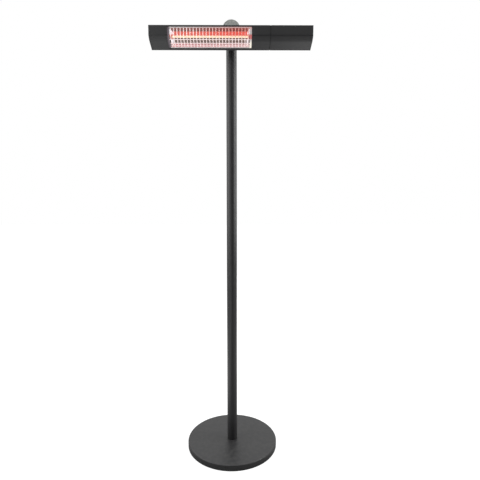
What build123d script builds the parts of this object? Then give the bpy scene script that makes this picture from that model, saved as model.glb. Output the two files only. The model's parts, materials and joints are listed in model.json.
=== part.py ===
from build123d import *
import os
from math import cos, radians, sin, tan

# Infrared patio heater tower: a weighted round base, a plain pole and a tilting heater head.
# Millimetres, +Z up, the front faces -Y, and the origin is on the floor under the pole.

# ---- Driving dimensions ----------------------------------------------------------------------

# Base
BASE_DIAMETER = 455.0
BASE_HEIGHT = 30.0
BASE_EDGE_RADIUS = 4.0
COVER_WALL = 1.5
COVER_LIFT = 1.5
FOOT_HEIGHT = 4.0
FOOT_DIAMETER = 28.0
FOOT_COUNT = 6
FOOT_EDGE_DISTANCE = 32.5
BASE_PLATE_THICKNESS = 2.0
PLATE_SCREW_DIAMETER = 5.0
PLATE_SCREW_HEAD_DIAMETER = 9.5
PLATE_SCREW_LENGTH = 15.0
PLATE_SCREW_COUNT = 4
PLATE_SCREW_CIRCLE_DIAMETER = 240.0
WEIGHT_EDGE_CLEARANCE = 1.0
WEIGHT_FLOOR_THICKNESS = 13.0
WEIGHT_HUB_DIAMETER = 90.0
WEIGHT_RIM_WIDTH = 14.0

# Pole and the bolt that holds it down
POLE_DIAMETER = 50.0
POLE_WALL = 2.0
POLE_LENGTH = 2030.0
POLE_BOLT_DIAMETER = 12.0
POLE_BOLT_HEAD_FLATS = 19.0
POLE_BOLT_HEAD_HEIGHT = 7.5
POLE_BOLT_THREAD_LENGTH = 22.0
POLE_WASHER_DIAMETER = 36.0
POLE_WASHER_THICKNESS = 2.5
BOLT_POCKET_DEPTH = 11.0
FOOT_PLUG_HEIGHT = 30.0
POLE_CAP_FLANGE = 3.0
POLE_CAP_SPIGOT = 12.0

# Round plate and saddles at the pole's top
DISC_DIAMETER = 81.0
DISC_THICKNESS = 5.0
DISC_EDGE_RADIUS = 1.5
DISC_CENTRE_DROP = 10.0
SADDLE_STANDOFF = 6.0
SADDLE_WIDTH = 36.0
SADDLE_HEIGHT = 38.0
SADDLE_WRAP = 9.0
SADDLE_BOLT_DIAMETER = 8.0
SADDLE_BOLT_HEAD_DIAMETER = 13.0
SADDLE_BOLT_HEAD_HEIGHT = 4.5
SADDLE_BOLT_SPACING = 18.0
UPPER_BOLT_DROP = 7.8
SADDLE_NUT_FLATS = 13.0
SADDLE_NUT_HEIGHT = 6.5
SADDLE_BOLT_END = 2.0

# Tilt joint
PIVOT_DROP = 68.0
BRACKET_THICKNESS = 3.0
FORK_INSIDE_WIDTH = 58.0
FORK_REACH = 17.0
FORK_EAR_RADIUS = 13.0
FORK_PLATE_BELOW_PIVOT = 20.0
HEAD_STANDOFF = 20.0
HEAD_EAR_RADIUS = 12.0
HEAD_BRACKET_HEIGHT = 40.0
HINGE_BOLT_DIAMETER = 8.0
HINGE_BOLT_HEAD_FLATS = 13.0
HINGE_BOLT_HEAD_HEIGHT = 5.0
HINGE_WASHER_DIAMETER = 20.0
HINGE_WASHER_THICKNESS = 0.6
HINGE_PLAY = 0.1
KNOB_WASHER_THICKNESS = 1.5
KNOB_WASHER_DIAMETER = 17.0
KNOB_CORE_RADIUS = 12.5
KNOB_LOBE_RADIUS = 3.3
KNOB_LOBES = 6
KNOB_LENGTH = 18.0
KNOB_BORE_DEPTH = 15.0
KNOB_GAP = 0.3
BRACKET_SCREW_DIAMETER = 5.0
BRACKET_SCREW_HEAD_DIAMETER = 8.0
BRACKET_SCREW_HEAD_HEIGHT = 2.6
BRACKET_SCREW_SPACING_X = 32.0
BRACKET_SCREW_SPACING_Z = 28.0
BRACKET_NUT_FLATS = 8.0
BRACKET_NUT_HEIGHT = 3.2

# Heater head: its section is upright at the back and top, and rounded at the front and below
HEAD_WIDTH = 716.0
HEAD_DEPTH = 74.0
HEAD_HEIGHT = 83.0
HEAD_RISE_ABOVE_PIVOT = 30.0
NOSE_DROP = 44.0
FACET_RUN = 15.0
FACET_FALL = 15.5
TOP_FRONT_RADIUS = 1.5
NOSE_RADIUS = 12.0
UNDER_RADIUS = 50.0
BOTTOM_BACK_RADIUS = 2.5
TOP_BACK_RADIUS = 8.0
HEAD_WALL = 2.0
CAP_DEPTH = 12.0
CAP_PLATE = 4.0
CAP_SCREW_DIAMETER = 3.2
CAP_SCREW_HEAD_DIAMETER = 6.8
CAP_SCREW_HEAD_HEIGHT = 2.3
CAP_SCREW_LENGTH = 22.0
CAP_BOSS_RADIUS = 4.5
CAP_BOSS_LENGTH = 16.0
CAP_BOSS_SINK = 0.5
LOWER_BOSS_RISE = 2.5
SEAM_X = 173.0
SEAM_WIDTH = 3.0
GASKET_RECESS = 1.2
COLLAR_LENGTH = 26.0
COLLAR_WALL = 1.5

# Window, guard and reflector
WINDOW_END_DISTANCE = 80.0
WINDOW_WIDTH = 369.0
WINDOW_TOP_LIP = 7.0
WINDOW_BOTTOM_LIP = 13.0
FRAME_THICKNESS = 1.0
FRAME_SIDE = 9.0
FRAME_EDGE = 4.0
FRAME_OVERLAP = 3.0
GUARD_WIRE_DIAMETER = 3.0
GUARD_WIRE_COUNT = 25
GUARD_WIRE_PITCH = 14.1
GUARD_ROD_DIAMETER = 3.2
GUARD_ROD_PLACES = (0.55, 0.79, 0.97)
REFLECTOR_SHEET = 0.8
REFLECTOR_TOP_DROP = 6.5
REFLECTOR_DEPTH = 64.0
REFLECTOR_SHOULDER_RUN = 16.0
REFLECTOR_SHOULDER_FALL = 17.5
REFLECTOR_BEND_RADIUS = 14.0
REFLECTOR_FALL = 75.0
REFLECTOR_FRONT_INSET = 8.0
REFLECTOR_POST_DIAMETER = 8.0
REFLECTOR_POST_SPACING = 240.0
POST_SCREW_DISTANCE = 10.5
REFLECTOR_POST_DROP = 47.0
END_PLATE_THICKNESS = 1.2
END_PLATE_FLARE = 11.0

# Lamp
LAMP_DIAMETER = 9.0
LAMP_WALL = 1.0
LAMP_LENGTH = 344.0
LAMP_SETBACK = 45.0
LAMP_DROP = 33.0
FILAMENT_DIAMETER = 4.0
FILAMENT_LENGTH = 316.0
FILAMENT_TAIL_DIAMETER = 1.0
CERAMIC_DIAMETER = 13.0
CERAMIC_LENGTH = 20.0
CERAMIC_CHAMFER = 0.6
LAMP_PLATE_HOLE_DIAMETER = 16.0
CLIP_SHEET = 1.5
CLIP_HEIGHT = 20.0
CLIP_FOOT = 14.0

# Controls
SHIELD_THICKNESS = 1.2
BOARD_HEIGHT = 46.0
BOARD_THICKNESS = 1.6
BOARD_END_GAP = 21.0
BOARD_TERMINAL_GAP = 14.0
BOARD_TOP_DROP = 14.0
STANDOFF_HEIGHT = 6.0
STANDOFF_RADIUS = 3.0
STANDOFF_INSET = 5.0

# Parts on the board: their places and faces are shares of the board's length and height
RELAY_PLACE = (-0.22, 0.16)
RELAY_FACE = (0.30, 0.40)
RELAY_DEPTH = 15.0
TRANSFORMER_PLACE = (0.20, -0.08)
TRANSFORMER_FACE = (0.28, 0.50)
TRANSFORMER_DEPTH = 19.0
CAPACITOR_PLACE = (-0.15, -0.28)
CAPACITOR_DIAMETER = 9.0
CAPACITOR_LENGTH = 14.0

# Terminal block, cord gland and leads
TERMINAL_SEAM_GAP = 16.0
TERMINAL_LENGTH = 36.0
TERMINAL_HEIGHT = 20.0
TERMINAL_DEPTH = 18.0
TERMINAL_DROP = 46.0
TERMINAL_WAYS = 3
TERMINAL_HOLE_DIAMETER = 5.0
TERMINAL_HOLE_DEPTH = 6.0
GLAND_DROP = 18.0
GLAND_THREAD_DIAMETER = 16.0
GLAND_BORE_DIAMETER = 8.4
GLAND_HEX_FLATS = 19.0
GLAND_HEX_THICKNESS = 5.0
GLAND_DOME_LENGTH = 9.0
GLAND_DOME_DIAMETER = 17.0
GLAND_NUT_THICKNESS = 4.5
GLAND_THREAD_END = 2.0
LEAD_DIAMETER = 3.0
LEAD_BEND_RADIUS = 9.0
LEAD_HOLE_DIAMETER = 5.0
LEAD_BACK_DROP = 60.0
LEAD_WALL_GAP = 2.5

# Rocker switch in the right head end
SWITCH_DROP = 36.0
SWITCH_SETBACK = 40.0
SWITCH_FLANGE_HEIGHT = 31.0
SWITCH_FLANGE_WIDTH = 16.0
SWITCH_FLANGE_THICKNESS = 1.6
SWITCH_BODY_HEIGHT = 27.0
SWITCH_BODY_WIDTH = 13.0
SWITCH_BODY_DEPTH = 18.0
SWITCH_WALL = 1.6
ROCKER_PIVOT_DEPTH = 8.5
ROCKER_HALF_LENGTH = 9.8
ROCKER_FACE_HEIGHT = 4.8
ROCKER_BACK_DEPTH = 2.9
ROCKER_TILT = 8.0
ROCKER_PIN_DIAMETER = 2.4
ROCKER_SIDE_CLEARANCE = 0.4

# Clearances
THREAD_CLEARANCE = 0.05
BOLT_CLEARANCE = 0.3
RUNNING_CLEARANCE = 0.05
SLIDE_IN_CLEARANCE = 0.05
SWITCH_CLEARANCE = 0.2

# ---- Places worked out from the driving dimensions -------------------------------------------

BASE_RADIUS = BASE_DIAMETER / 2
FOOT_CIRCLE_RADIUS = BASE_RADIUS - FOOT_EDGE_DISTANCE
COVER_INSIDE_Z = BASE_HEIGHT - COVER_WALL
PLATE_TOP_Z = FOOT_HEIGHT + BASE_PLATE_THICKNESS
BOLT_SEAT_Z = PLATE_TOP_Z + BOLT_POCKET_DEPTH
POLE_RADIUS = POLE_DIAMETER / 2
POLE_BORE_RADIUS = POLE_RADIUS - POLE_WALL
POLE_TOP_Z = BASE_HEIGHT + POLE_LENGTH

DISC_CENTRE_Z = POLE_TOP_Z - DISC_CENTRE_DROP
DISC_BACK_Y = -POLE_RADIUS - SADDLE_STANDOFF
FORK_BACK_Y = DISC_BACK_Y - DISC_THICKNESS
FORK_FRONT_Y = FORK_BACK_Y - BRACKET_THICKNESS
SADDLE_BOLT_RADIUS = SADDLE_BOLT_DIAMETER / 2
SADDLE_BOLT_HOLE_RADIUS = SADDLE_BOLT_RADIUS + BOLT_CLEARANCE
UPPER_BOLT_Z = DISC_CENTRE_Z - UPPER_BOLT_DROP
SADDLE_BOLT_PLACES = [(0, UPPER_BOLT_Z), (0, UPPER_BOLT_Z - SADDLE_BOLT_SPACING)]
SADDLE_MIDDLE_Z = UPPER_BOLT_Z - SADDLE_BOLT_SPACING / 2
SADDLE_REAR_Y = POLE_RADIUS + SADDLE_STANDOFF

PIVOT_Y = FORK_FRONT_Y - FORK_REACH
PIVOT_Z = POLE_TOP_Z - PIVOT_DROP
FORK_HALF_WIDTH = FORK_INSIDE_WIDTH / 2 + BRACKET_THICKNESS
HEAD_EAR_OUTSIDE_X = FORK_INSIDE_WIDTH / 2 - HINGE_WASHER_THICKNESS - HINGE_PLAY
HINGE_BOLT_RADIUS = HINGE_BOLT_DIAMETER / 2
KNOB_START_X = FORK_HALF_WIDTH + KNOB_WASHER_THICKNESS + KNOB_GAP

HEAD_BACK_Y = PIVOT_Y - HEAD_STANDOFF
HEAD_FRONT_Y = HEAD_BACK_Y - HEAD_DEPTH
HEAD_TOP_Z = PIVOT_Z + HEAD_RISE_ABOVE_PIVOT
HEAD_BOTTOM_Z = HEAD_TOP_Z - HEAD_HEIGHT
HEAD_END_X = HEAD_WIDTH / 2
CAP_INNER_X = HEAD_END_X - CAP_DEPTH
BACK_INSIDE_Y = HEAD_BACK_Y - HEAD_WALL
SEAM_LEFT_X = SEAM_X - SEAM_WIDTH / 2
SEAM_RIGHT_X = SEAM_X + SEAM_WIDTH / 2
COLLAR_X = SEAM_X - COLLAR_LENGTH / 2
WINDOW_LEFT_X = WINDOW_END_DISTANCE - HEAD_END_X
WINDOW_RIGHT_X = WINDOW_LEFT_X + WINDOW_WIDTH
WINDOW_MIDDLE_X = (WINDOW_LEFT_X + WINDOW_RIGHT_X) / 2
WINDOW_TOP_Z = HEAD_TOP_Z - WINDOW_TOP_LIP
WINDOW_BACK_Y = HEAD_BACK_Y - WINDOW_BOTTOM_LIP
FRAME_INSET = HEAD_WALL + SLIDE_IN_CLEARANCE
GUARD_INSET = FRAME_INSET + FRAME_THICKNESS + GUARD_WIRE_DIAMETER / 2 + SLIDE_IN_CLEARANCE
ROD_INSET = GUARD_INSET + (GUARD_WIRE_DIAMETER + GUARD_ROD_DIAMETER) / 2 + SLIDE_IN_CLEARANCE
LAMP_Y = HEAD_FRONT_Y + LAMP_SETBACK
LAMP_Z = HEAD_TOP_Z - LAMP_DROP
LAMP_HALF = LAMP_LENGTH / 2
SHIELD_X = (WINDOW_RIGHT_X + COLLAR_X - SHIELD_THICKNESS) / 2
LEAD_BACK_Y = BACK_INSIDE_Y - LEAD_DIAMETER / 2 - LEAD_WALL_GAP
LEAD_BACK_Z = HEAD_TOP_Z - LEAD_BACK_DROP
TERMINAL_LEFT_X = SEAM_RIGHT_X + TERMINAL_SEAM_GAP
TERMINAL_RIGHT_X = TERMINAL_LEFT_X + TERMINAL_LENGTH
TERMINAL_Z = HEAD_TOP_Z - TERMINAL_DROP
GLAND_X = TERMINAL_LEFT_X + TERMINAL_LENGTH / 2
GLAND_Z = HEAD_TOP_Z - GLAND_DROP
BOARD_LEFT_X = TERMINAL_RIGHT_X + BOARD_TERMINAL_GAP
BOARD_LENGTH = CAP_INNER_X - BOARD_END_GAP - BOARD_LEFT_X
BOARD_Y = BACK_INSIDE_Y - STANDOFF_HEIGHT
BOARD_FRONT_Y = BOARD_Y - BOARD_THICKNESS
BOARD_TOP_Z = HEAD_TOP_Z - BOARD_TOP_DROP
SWITCH_Y = HEAD_FRONT_Y + SWITCH_SETBACK
SWITCH_Z = HEAD_TOP_Z - SWITCH_DROP
SWITCH_FACE_X = HEAD_END_X - SLIDE_IN_CLEARANCE
ROCKER_X = HEAD_END_X - ROCKER_PIVOT_DEPTH
BODY_X = SWITCH_FACE_X - SWITCH_BODY_DEPTH

# The head's outline from the top front corner, down the front, back along the underside and up
HEAD_CORNERS = [
    Vector(HEAD_FRONT_Y, HEAD_TOP_Z),
    Vector(HEAD_FRONT_Y, HEAD_TOP_Z - NOSE_DROP),
    Vector(HEAD_FRONT_Y + FACET_RUN, HEAD_TOP_Z - NOSE_DROP - FACET_FALL),
    Vector(HEAD_BACK_Y, HEAD_BOTTOM_Z),
    Vector(HEAD_BACK_Y, HEAD_TOP_Z),
]
HEAD_RADII = [TOP_FRONT_RADIUS, NOSE_RADIUS, UNDER_RADIUS, BOTTOM_BACK_RADIUS, TOP_BACK_RADIUS]
SMALLEST_RADIUS = 0.3

# Screw bosses lie in the four corners of the head, against its wall
BOSS_INSET = HEAD_WALL + CAP_BOSS_RADIUS - CAP_BOSS_SINK
CAP_SCREW_PLACES = [
    (HEAD_FRONT_Y + BOSS_INSET, HEAD_TOP_Z - BOSS_INSET),
    (HEAD_FRONT_Y + BOSS_INSET, HEAD_TOP_Z - NOSE_DROP + BOSS_INSET),
    (HEAD_BACK_Y - BOSS_INSET, HEAD_BOTTOM_Z + BOSS_INSET + LOWER_BOSS_RISE),
    (HEAD_BACK_Y - BOSS_INSET, HEAD_TOP_Z - BOSS_INSET),
]


# ---- Shared shapes ---------------------------------------------------------------------------


def inset_corners(corners, distance):
    """Corners of an anticlockwise outline with every side moved inwards by the distance."""
    moved = []
    for index, corner in enumerate(corners):
        before = corners[index - 1]
        after = corners[(index + 1) % len(corners)]
        side_in = (corner - before).normalized().rotate(Axis.Z, 90)
        side_out = (after - corner).normalized().rotate(Axis.Z, 90)
        shift = (side_in + side_out) * (distance / (1 + side_in.dot(side_out)))
        moved.append(corner + shift)
    return moved


def head_section(x, inset=0.0):
    """The head's outline on the plane at x, moved inwards by the inset."""
    radii = [max(radius - inset, SMALLEST_RADIUS) for radius in HEAD_RADII]
    with BuildSketch(Plane.YZ.offset(x)) as section:
        with BuildLine():
            FilletPolyline(*inset_corners(HEAD_CORNERS, inset), radius=radii, close=True)
        make_face()
    return section.sketch


def trough_section(x, grow=0.0):
    """The room inside the reflector, open to the front and below, on the plane at x."""
    back_y = HEAD_FRONT_Y + REFLECTOR_DEPTH
    top_z = HEAD_TOP_Z - REFLECTOR_TOP_DROP
    corners = [
        Vector(HEAD_FRONT_Y - HEAD_WALL, top_z),
        Vector(HEAD_FRONT_Y - HEAD_WALL, HEAD_BOTTOM_Z - HEAD_WALL),
        Vector(back_y, HEAD_BOTTOM_Z - HEAD_WALL),
        Vector(back_y, top_z - REFLECTOR_SHOULDER_FALL),
        Vector(back_y - REFLECTOR_SHOULDER_RUN, top_z),
    ]
    bend = REFLECTOR_BEND_RADIUS + grow
    with BuildSketch(Plane.YZ.offset(x)) as section:
        with BuildLine():
            FilletPolyline(*inset_corners(corners, -grow), radius=[0, 0, 0, bend, bend], close=True)
        make_face()
    return section.sketch


def circles(plane, places, radius):
    """Circles of one radius at places on a plane."""
    with BuildSketch(plane) as sketch:
        with Locations(*places):
            Circle(radius)
    return sketch.sketch


def hexagons(plane, places, across_flats):
    """Hexagons of one size at places on a plane."""
    with BuildSketch(plane) as sketch:
        with Locations(*places):
            RegularPolygon(radius=across_flats / 2, side_count=6, major_radius=False)
    return sketch.sketch


def block(low, high, mode=Mode.ADD):
    """A box between two opposite corners."""
    low, high = Vector(*low), Vector(*high)
    size = high - low
    with Locations((low + high) / 2):
        Box(abs(size.X), abs(size.Y), abs(size.Z), mode=mode)


def at_y(y):
    """The plane across Y at y, whose first axis is X, second axis Z and normal -Y."""
    return Plane.XZ.offset(-y)


def ear_section(x, root_y, radius):
    """A bracket ear on the plane at x: round about the pivot, straight to its root."""
    with BuildSketch(Plane.YZ.offset(x)) as section:
        with Locations((PIVOT_Y, PIVOT_Z)):
            Circle(radius)
        with Locations(((PIVOT_Y + root_y) / 2, PIVOT_Z)):
            Rectangle(abs(root_y - PIVOT_Y), 2 * radius)
    return section.sketch


# ---- Base ------------------------------------------------------------------------------------

with BuildPart() as base_cover:
    with BuildSketch(Plane.XY.offset(COVER_LIFT)):
        Circle(BASE_RADIUS)
    extrude(amount=BASE_HEIGHT - COVER_LIFT)
    fillet(base_cover.edges().group_by(Axis.Z)[-1], BASE_EDGE_RADIUS)
    offset(amount=-COVER_WALL, openings=base_cover.faces().sort_by(Axis.Z)[0])
    with Locations((0, 0, BASE_HEIGHT)):
        Hole(POLE_BOLT_DIAMETER / 2 + BOLT_CLEARANCE, depth=2 * COVER_WALL)

with BuildPart() as base_plate:
    with BuildSketch(Plane.XY.offset(FOOT_HEIGHT)):
        Circle(BASE_RADIUS - COVER_WALL - WEIGHT_EDGE_CLEARANCE)
        Circle(POLE_WASHER_DIAMETER / 2 + WEIGHT_EDGE_CLEARANCE, mode=Mode.SUBTRACT)
    extrude(amount=BASE_PLATE_THICKNESS)
    with Locations(Plane.XY.offset(FOOT_HEIGHT).rotated((180, 0, 0))):
        with PolarLocations(PLATE_SCREW_CIRCLE_DIAMETER / 2, PLATE_SCREW_COUNT):
            CounterSinkHole(
                PLATE_SCREW_DIAMETER / 2 + SLIDE_IN_CLEARANCE,
                PLATE_SCREW_HEAD_DIAMETER / 2 + SLIDE_IN_CLEARANCE,
                depth=BASE_PLATE_THICKNESS,
            )

with BuildPart() as base_weight:
    with BuildSketch(Plane.XY.offset(PLATE_TOP_Z)):
        Circle(BASE_RADIUS - COVER_WALL - WEIGHT_EDGE_CLEARANCE)
        Circle(POLE_BOLT_DIAMETER / 2 + BOLT_CLEARANCE, mode=Mode.SUBTRACT)
        with PolarLocations(PLATE_SCREW_CIRCLE_DIAMETER / 2, PLATE_SCREW_COUNT):
            Circle(PLATE_SCREW_DIAMETER / 2 + THREAD_CLEARANCE, mode=Mode.SUBTRACT)
    extrude(amount=COVER_INSIDE_Z - PLATE_TOP_Z)
    outer_edge = base_weight.edges().filter_by(GeomType.CIRCLE).group_by(Axis.Z)[-1].sort_by(SortBy.RADIUS)[-1]
    chamfer(outer_edge, BASE_EDGE_RADIUS)
    with BuildSketch(Plane.XY.offset(PLATE_TOP_Z)):
        Circle(POLE_WASHER_DIAMETER / 2 + WEIGHT_EDGE_CLEARANCE)
    extrude(amount=BOLT_POCKET_DEPTH, mode=Mode.SUBTRACT)
    with BuildSketch(Plane.XY.offset(PLATE_TOP_Z + WEIGHT_FLOOR_THICKNESS)):
        Circle(BASE_RADIUS - COVER_WALL - WEIGHT_EDGE_CLEARANCE - WEIGHT_RIM_WIDTH)
        Circle(WEIGHT_HUB_DIAMETER / 2, mode=Mode.SUBTRACT)
    extrude(amount=COVER_INSIDE_Z - PLATE_TOP_Z - WEIGHT_FLOOR_THICKNESS, mode=Mode.SUBTRACT)

with BuildPart() as base_feet:
    with BuildSketch():
        with PolarLocations(FOOT_CIRCLE_RADIUS, FOOT_COUNT):
            Circle(FOOT_DIAMETER / 2)
    extrude(amount=FOOT_HEIGHT)

with BuildPart() as base_plate_screws:
    head_depth = (PLATE_SCREW_HEAD_DIAMETER - PLATE_SCREW_DIAMETER) / 2
    with BuildSketch(Plane.XY.offset(FOOT_HEIGHT)):
        with PolarLocations(PLATE_SCREW_CIRCLE_DIAMETER / 2, PLATE_SCREW_COUNT):
            Circle(PLATE_SCREW_HEAD_DIAMETER / 2)
    extrude(amount=min(head_depth, BASE_PLATE_THICKNESS), taper=45)
    with BuildSketch(Plane.XY.offset(FOOT_HEIGHT)):
        with PolarLocations(PLATE_SCREW_CIRCLE_DIAMETER / 2, PLATE_SCREW_COUNT):
            Circle(PLATE_SCREW_DIAMETER / 2)
    extrude(amount=PLATE_SCREW_LENGTH)

# ---- Pole ------------------------------------------------------------------------------------

with BuildPart() as pole_bolt:
    washer_under_z = BOLT_SEAT_Z - POLE_WASHER_THICKNESS
    extrude(
        hexagons(Plane.XY.offset(washer_under_z), [(0, 0)], POLE_BOLT_HEAD_FLATS),
        amount=-POLE_BOLT_HEAD_HEIGHT,
    )
    extrude(
        circles(Plane.XY.offset(washer_under_z), [(0, 0)], POLE_BOLT_DIAMETER / 2),
        amount=BASE_HEIGHT + POLE_BOLT_THREAD_LENGTH - washer_under_z,
    )

with BuildPart() as pole_bolt_washer:
    with BuildSketch(Plane.XY.offset(BOLT_SEAT_Z)):
        Circle(POLE_WASHER_DIAMETER / 2)
        Circle(POLE_BOLT_DIAMETER / 2 + BOLT_CLEARANCE, mode=Mode.SUBTRACT)
    extrude(amount=-POLE_WASHER_THICKNESS)

with BuildPart() as pole_foot_plug:
    with BuildSketch(Plane.XY.offset(BASE_HEIGHT)):
        Circle(POLE_BORE_RADIUS - SLIDE_IN_CLEARANCE)
        Circle(POLE_BOLT_DIAMETER / 2 + THREAD_CLEARANCE, mode=Mode.SUBTRACT)
    extrude(amount=FOOT_PLUG_HEIGHT)

with BuildPart() as pole:
    with BuildSketch(Plane.XY.offset(BASE_HEIGHT)):
        Circle(POLE_RADIUS)
        Circle(POLE_BORE_RADIUS, mode=Mode.SUBTRACT)
    extrude(amount=POLE_LENGTH)
    extrude(
        circles(Plane.XZ, SADDLE_BOLT_PLACES, SADDLE_BOLT_HOLE_RADIUS),
        amount=POLE_DIAMETER,
        both=True,
        mode=Mode.SUBTRACT,
    )

with BuildPart() as pole_cap:
    with BuildSketch(Plane.XY.offset(POLE_TOP_Z)):
        Circle(POLE_RADIUS)
    extrude(amount=POLE_CAP_FLANGE)
    fillet(pole_cap.edges().group_by(Axis.Z)[-1], POLE_CAP_FLANGE / 2)
    with BuildSketch(Plane.XY.offset(POLE_TOP_Z)):
        Circle(POLE_BORE_RADIUS - SLIDE_IN_CLEARANCE)
        Circle(POLE_BORE_RADIUS - 2 * POLE_WALL, mode=Mode.SUBTRACT)
    extrude(amount=-POLE_CAP_SPIGOT)

# ---- Round plate and saddles -----------------------------------------------------------------


def saddle(flat_y):
    """A block between the pole's round wall and a flat at flat_y, bored for the through bolts."""
    toward_pole = 1 if flat_y < 0 else -1
    with BuildPart() as piece:
        block(
            (-SADDLE_WIDTH / 2, flat_y, SADDLE_MIDDLE_Z - SADDLE_HEIGHT / 2),
            (
                SADDLE_WIDTH / 2,
                flat_y + toward_pole * (SADDLE_STANDOFF + SADDLE_WRAP),
                SADDLE_MIDDLE_Z + SADDLE_HEIGHT / 2,
            ),
        )
        extrude(
            circles(Plane.XY.offset(SADDLE_MIDDLE_Z), [(0, 0)], POLE_RADIUS + SLIDE_IN_CLEARANCE),
            amount=SADDLE_HEIGHT,
            both=True,
            mode=Mode.SUBTRACT,
        )
        extrude(
            circles(Plane.XZ, SADDLE_BOLT_PLACES, SADDLE_BOLT_HOLE_RADIUS),
            amount=POLE_DIAMETER,
            both=True,
            mode=Mode.SUBTRACT,
        )
    return piece


front_saddle = saddle(DISC_BACK_Y)
rear_saddle = saddle(SADDLE_REAR_Y)

with BuildPart() as mount_disc:
    extrude(circles(at_y(DISC_BACK_Y), [(0, DISC_CENTRE_Z)], DISC_DIAMETER / 2), amount=DISC_THICKNESS)
    fillet(mount_disc.edges().group_by(Axis.Y)[0], DISC_EDGE_RADIUS)
    extrude(
        circles(at_y(DISC_BACK_Y), SADDLE_BOLT_PLACES, SADDLE_BOLT_HOLE_RADIUS),
        amount=DISC_THICKNESS,
        mode=Mode.SUBTRACT,
    )

with BuildPart() as saddle_bolts:
    nut_end_y = SADDLE_REAR_Y + SADDLE_NUT_HEIGHT + SADDLE_BOLT_END
    extrude(
        circles(at_y(FORK_FRONT_Y), SADDLE_BOLT_PLACES, SADDLE_BOLT_HEAD_DIAMETER / 2),
        amount=SADDLE_BOLT_HEAD_HEIGHT,
    )
    fillet(saddle_bolts.edges().group_by(Axis.Y)[0], SADDLE_BOLT_HEAD_HEIGHT / 3)
    extrude(
        circles(at_y(FORK_FRONT_Y), SADDLE_BOLT_PLACES, SADDLE_BOLT_RADIUS),
        amount=FORK_FRONT_Y - nut_end_y,
    )

with BuildPart() as saddle_nuts:
    extrude(hexagons(at_y(SADDLE_REAR_Y), SADDLE_BOLT_PLACES, SADDLE_NUT_FLATS), amount=-SADDLE_NUT_HEIGHT)
    extrude(
        circles(at_y(SADDLE_REAR_Y), SADDLE_BOLT_PLACES, SADDLE_BOLT_RADIUS + THREAD_CLEARANCE),
        amount=-SADDLE_NUT_HEIGHT,
        mode=Mode.SUBTRACT,
    )

# ---- Tilt joint ------------------------------------------------------------------------------

PIVOT = [(PIVOT_Y, PIVOT_Z)]

with BuildPart() as fork_bracket:
    block(
        (-FORK_HALF_WIDTH, FORK_FRONT_Y, PIVOT_Z - FORK_PLATE_BELOW_PIVOT),
        (FORK_HALF_WIDTH, FORK_BACK_Y, DISC_CENTRE_Z),
    )
    for ear_x in (-FORK_HALF_WIDTH, FORK_INSIDE_WIDTH / 2):
        extrude(ear_section(ear_x, FORK_FRONT_Y, FORK_EAR_RADIUS), amount=BRACKET_THICKNESS)
    extrude(
        circles(Plane.YZ, PIVOT, HINGE_BOLT_RADIUS + THREAD_CLEARANCE),
        amount=FORK_INSIDE_WIDTH,
        both=True,
        mode=Mode.SUBTRACT,
    )
    extrude(
        circles(at_y(FORK_BACK_Y), SADDLE_BOLT_PLACES, SADDLE_BOLT_HOLE_RADIUS),
        amount=BRACKET_THICKNESS,
        mode=Mode.SUBTRACT,
    )

BRACKET_SCREW_PLACES = [
    (side * BRACKET_SCREW_SPACING_X / 2, PIVOT_Z + level * BRACKET_SCREW_SPACING_Z / 2)
    for side in (-1, 1)
    for level in (-1, 1)
]

with BuildPart() as head_bracket:
    block(
        (-HEAD_EAR_OUTSIDE_X, HEAD_BACK_Y, PIVOT_Z - HEAD_BRACKET_HEIGHT / 2),
        (HEAD_EAR_OUTSIDE_X, HEAD_BACK_Y + BRACKET_THICKNESS, PIVOT_Z + HEAD_BRACKET_HEIGHT / 2),
    )
    for ear_x in (-HEAD_EAR_OUTSIDE_X, HEAD_EAR_OUTSIDE_X - BRACKET_THICKNESS):
        extrude(ear_section(ear_x, HEAD_BACK_Y, HEAD_EAR_RADIUS), amount=BRACKET_THICKNESS)
    extrude(
        circles(Plane.YZ, PIVOT, HINGE_BOLT_RADIUS + RUNNING_CLEARANCE),
        amount=FORK_INSIDE_WIDTH,
        both=True,
        mode=Mode.SUBTRACT,
    )
    extrude(
        circles(at_y(HEAD_BACK_Y), BRACKET_SCREW_PLACES, BRACKET_SCREW_DIAMETER / 2 + BOLT_CLEARANCE),
        amount=-BRACKET_THICKNESS,
        mode=Mode.SUBTRACT,
    )

with BuildPart() as head_bracket_screws:
    screw_seat_y = HEAD_BACK_Y + BRACKET_THICKNESS
    extrude(
        circles(at_y(screw_seat_y), BRACKET_SCREW_PLACES, BRACKET_SCREW_HEAD_DIAMETER / 2),
        amount=-BRACKET_SCREW_HEAD_HEIGHT,
    )
    fillet(head_bracket_screws.edges().group_by(Axis.Y)[-1], BRACKET_SCREW_HEAD_HEIGHT / 3)
    extrude(
        circles(at_y(screw_seat_y), BRACKET_SCREW_PLACES, BRACKET_SCREW_DIAMETER / 2),
        amount=BRACKET_THICKNESS + HEAD_WALL + BRACKET_NUT_HEIGHT,
    )

with BuildPart() as head_bracket_nuts:
    extrude(hexagons(at_y(BACK_INSIDE_Y), BRACKET_SCREW_PLACES, BRACKET_NUT_FLATS), amount=BRACKET_NUT_HEIGHT)
    extrude(
        circles(at_y(BACK_INSIDE_Y), BRACKET_SCREW_PLACES, BRACKET_SCREW_DIAMETER / 2 + THREAD_CLEARANCE),
        amount=BRACKET_NUT_HEIGHT,
        mode=Mode.SUBTRACT,
    )

with BuildPart() as hinge_bolt:
    bolt_head_plane = Plane.YZ.offset(-FORK_HALF_WIDTH)
    extrude(hexagons(bolt_head_plane, PIVOT, HINGE_BOLT_HEAD_FLATS), amount=-HINGE_BOLT_HEAD_HEIGHT)
    extrude(
        circles(bolt_head_plane, PIVOT, HINGE_BOLT_RADIUS),
        amount=FORK_HALF_WIDTH + KNOB_START_X + KNOB_BORE_DEPTH - KNOB_GAP,
    )

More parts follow.
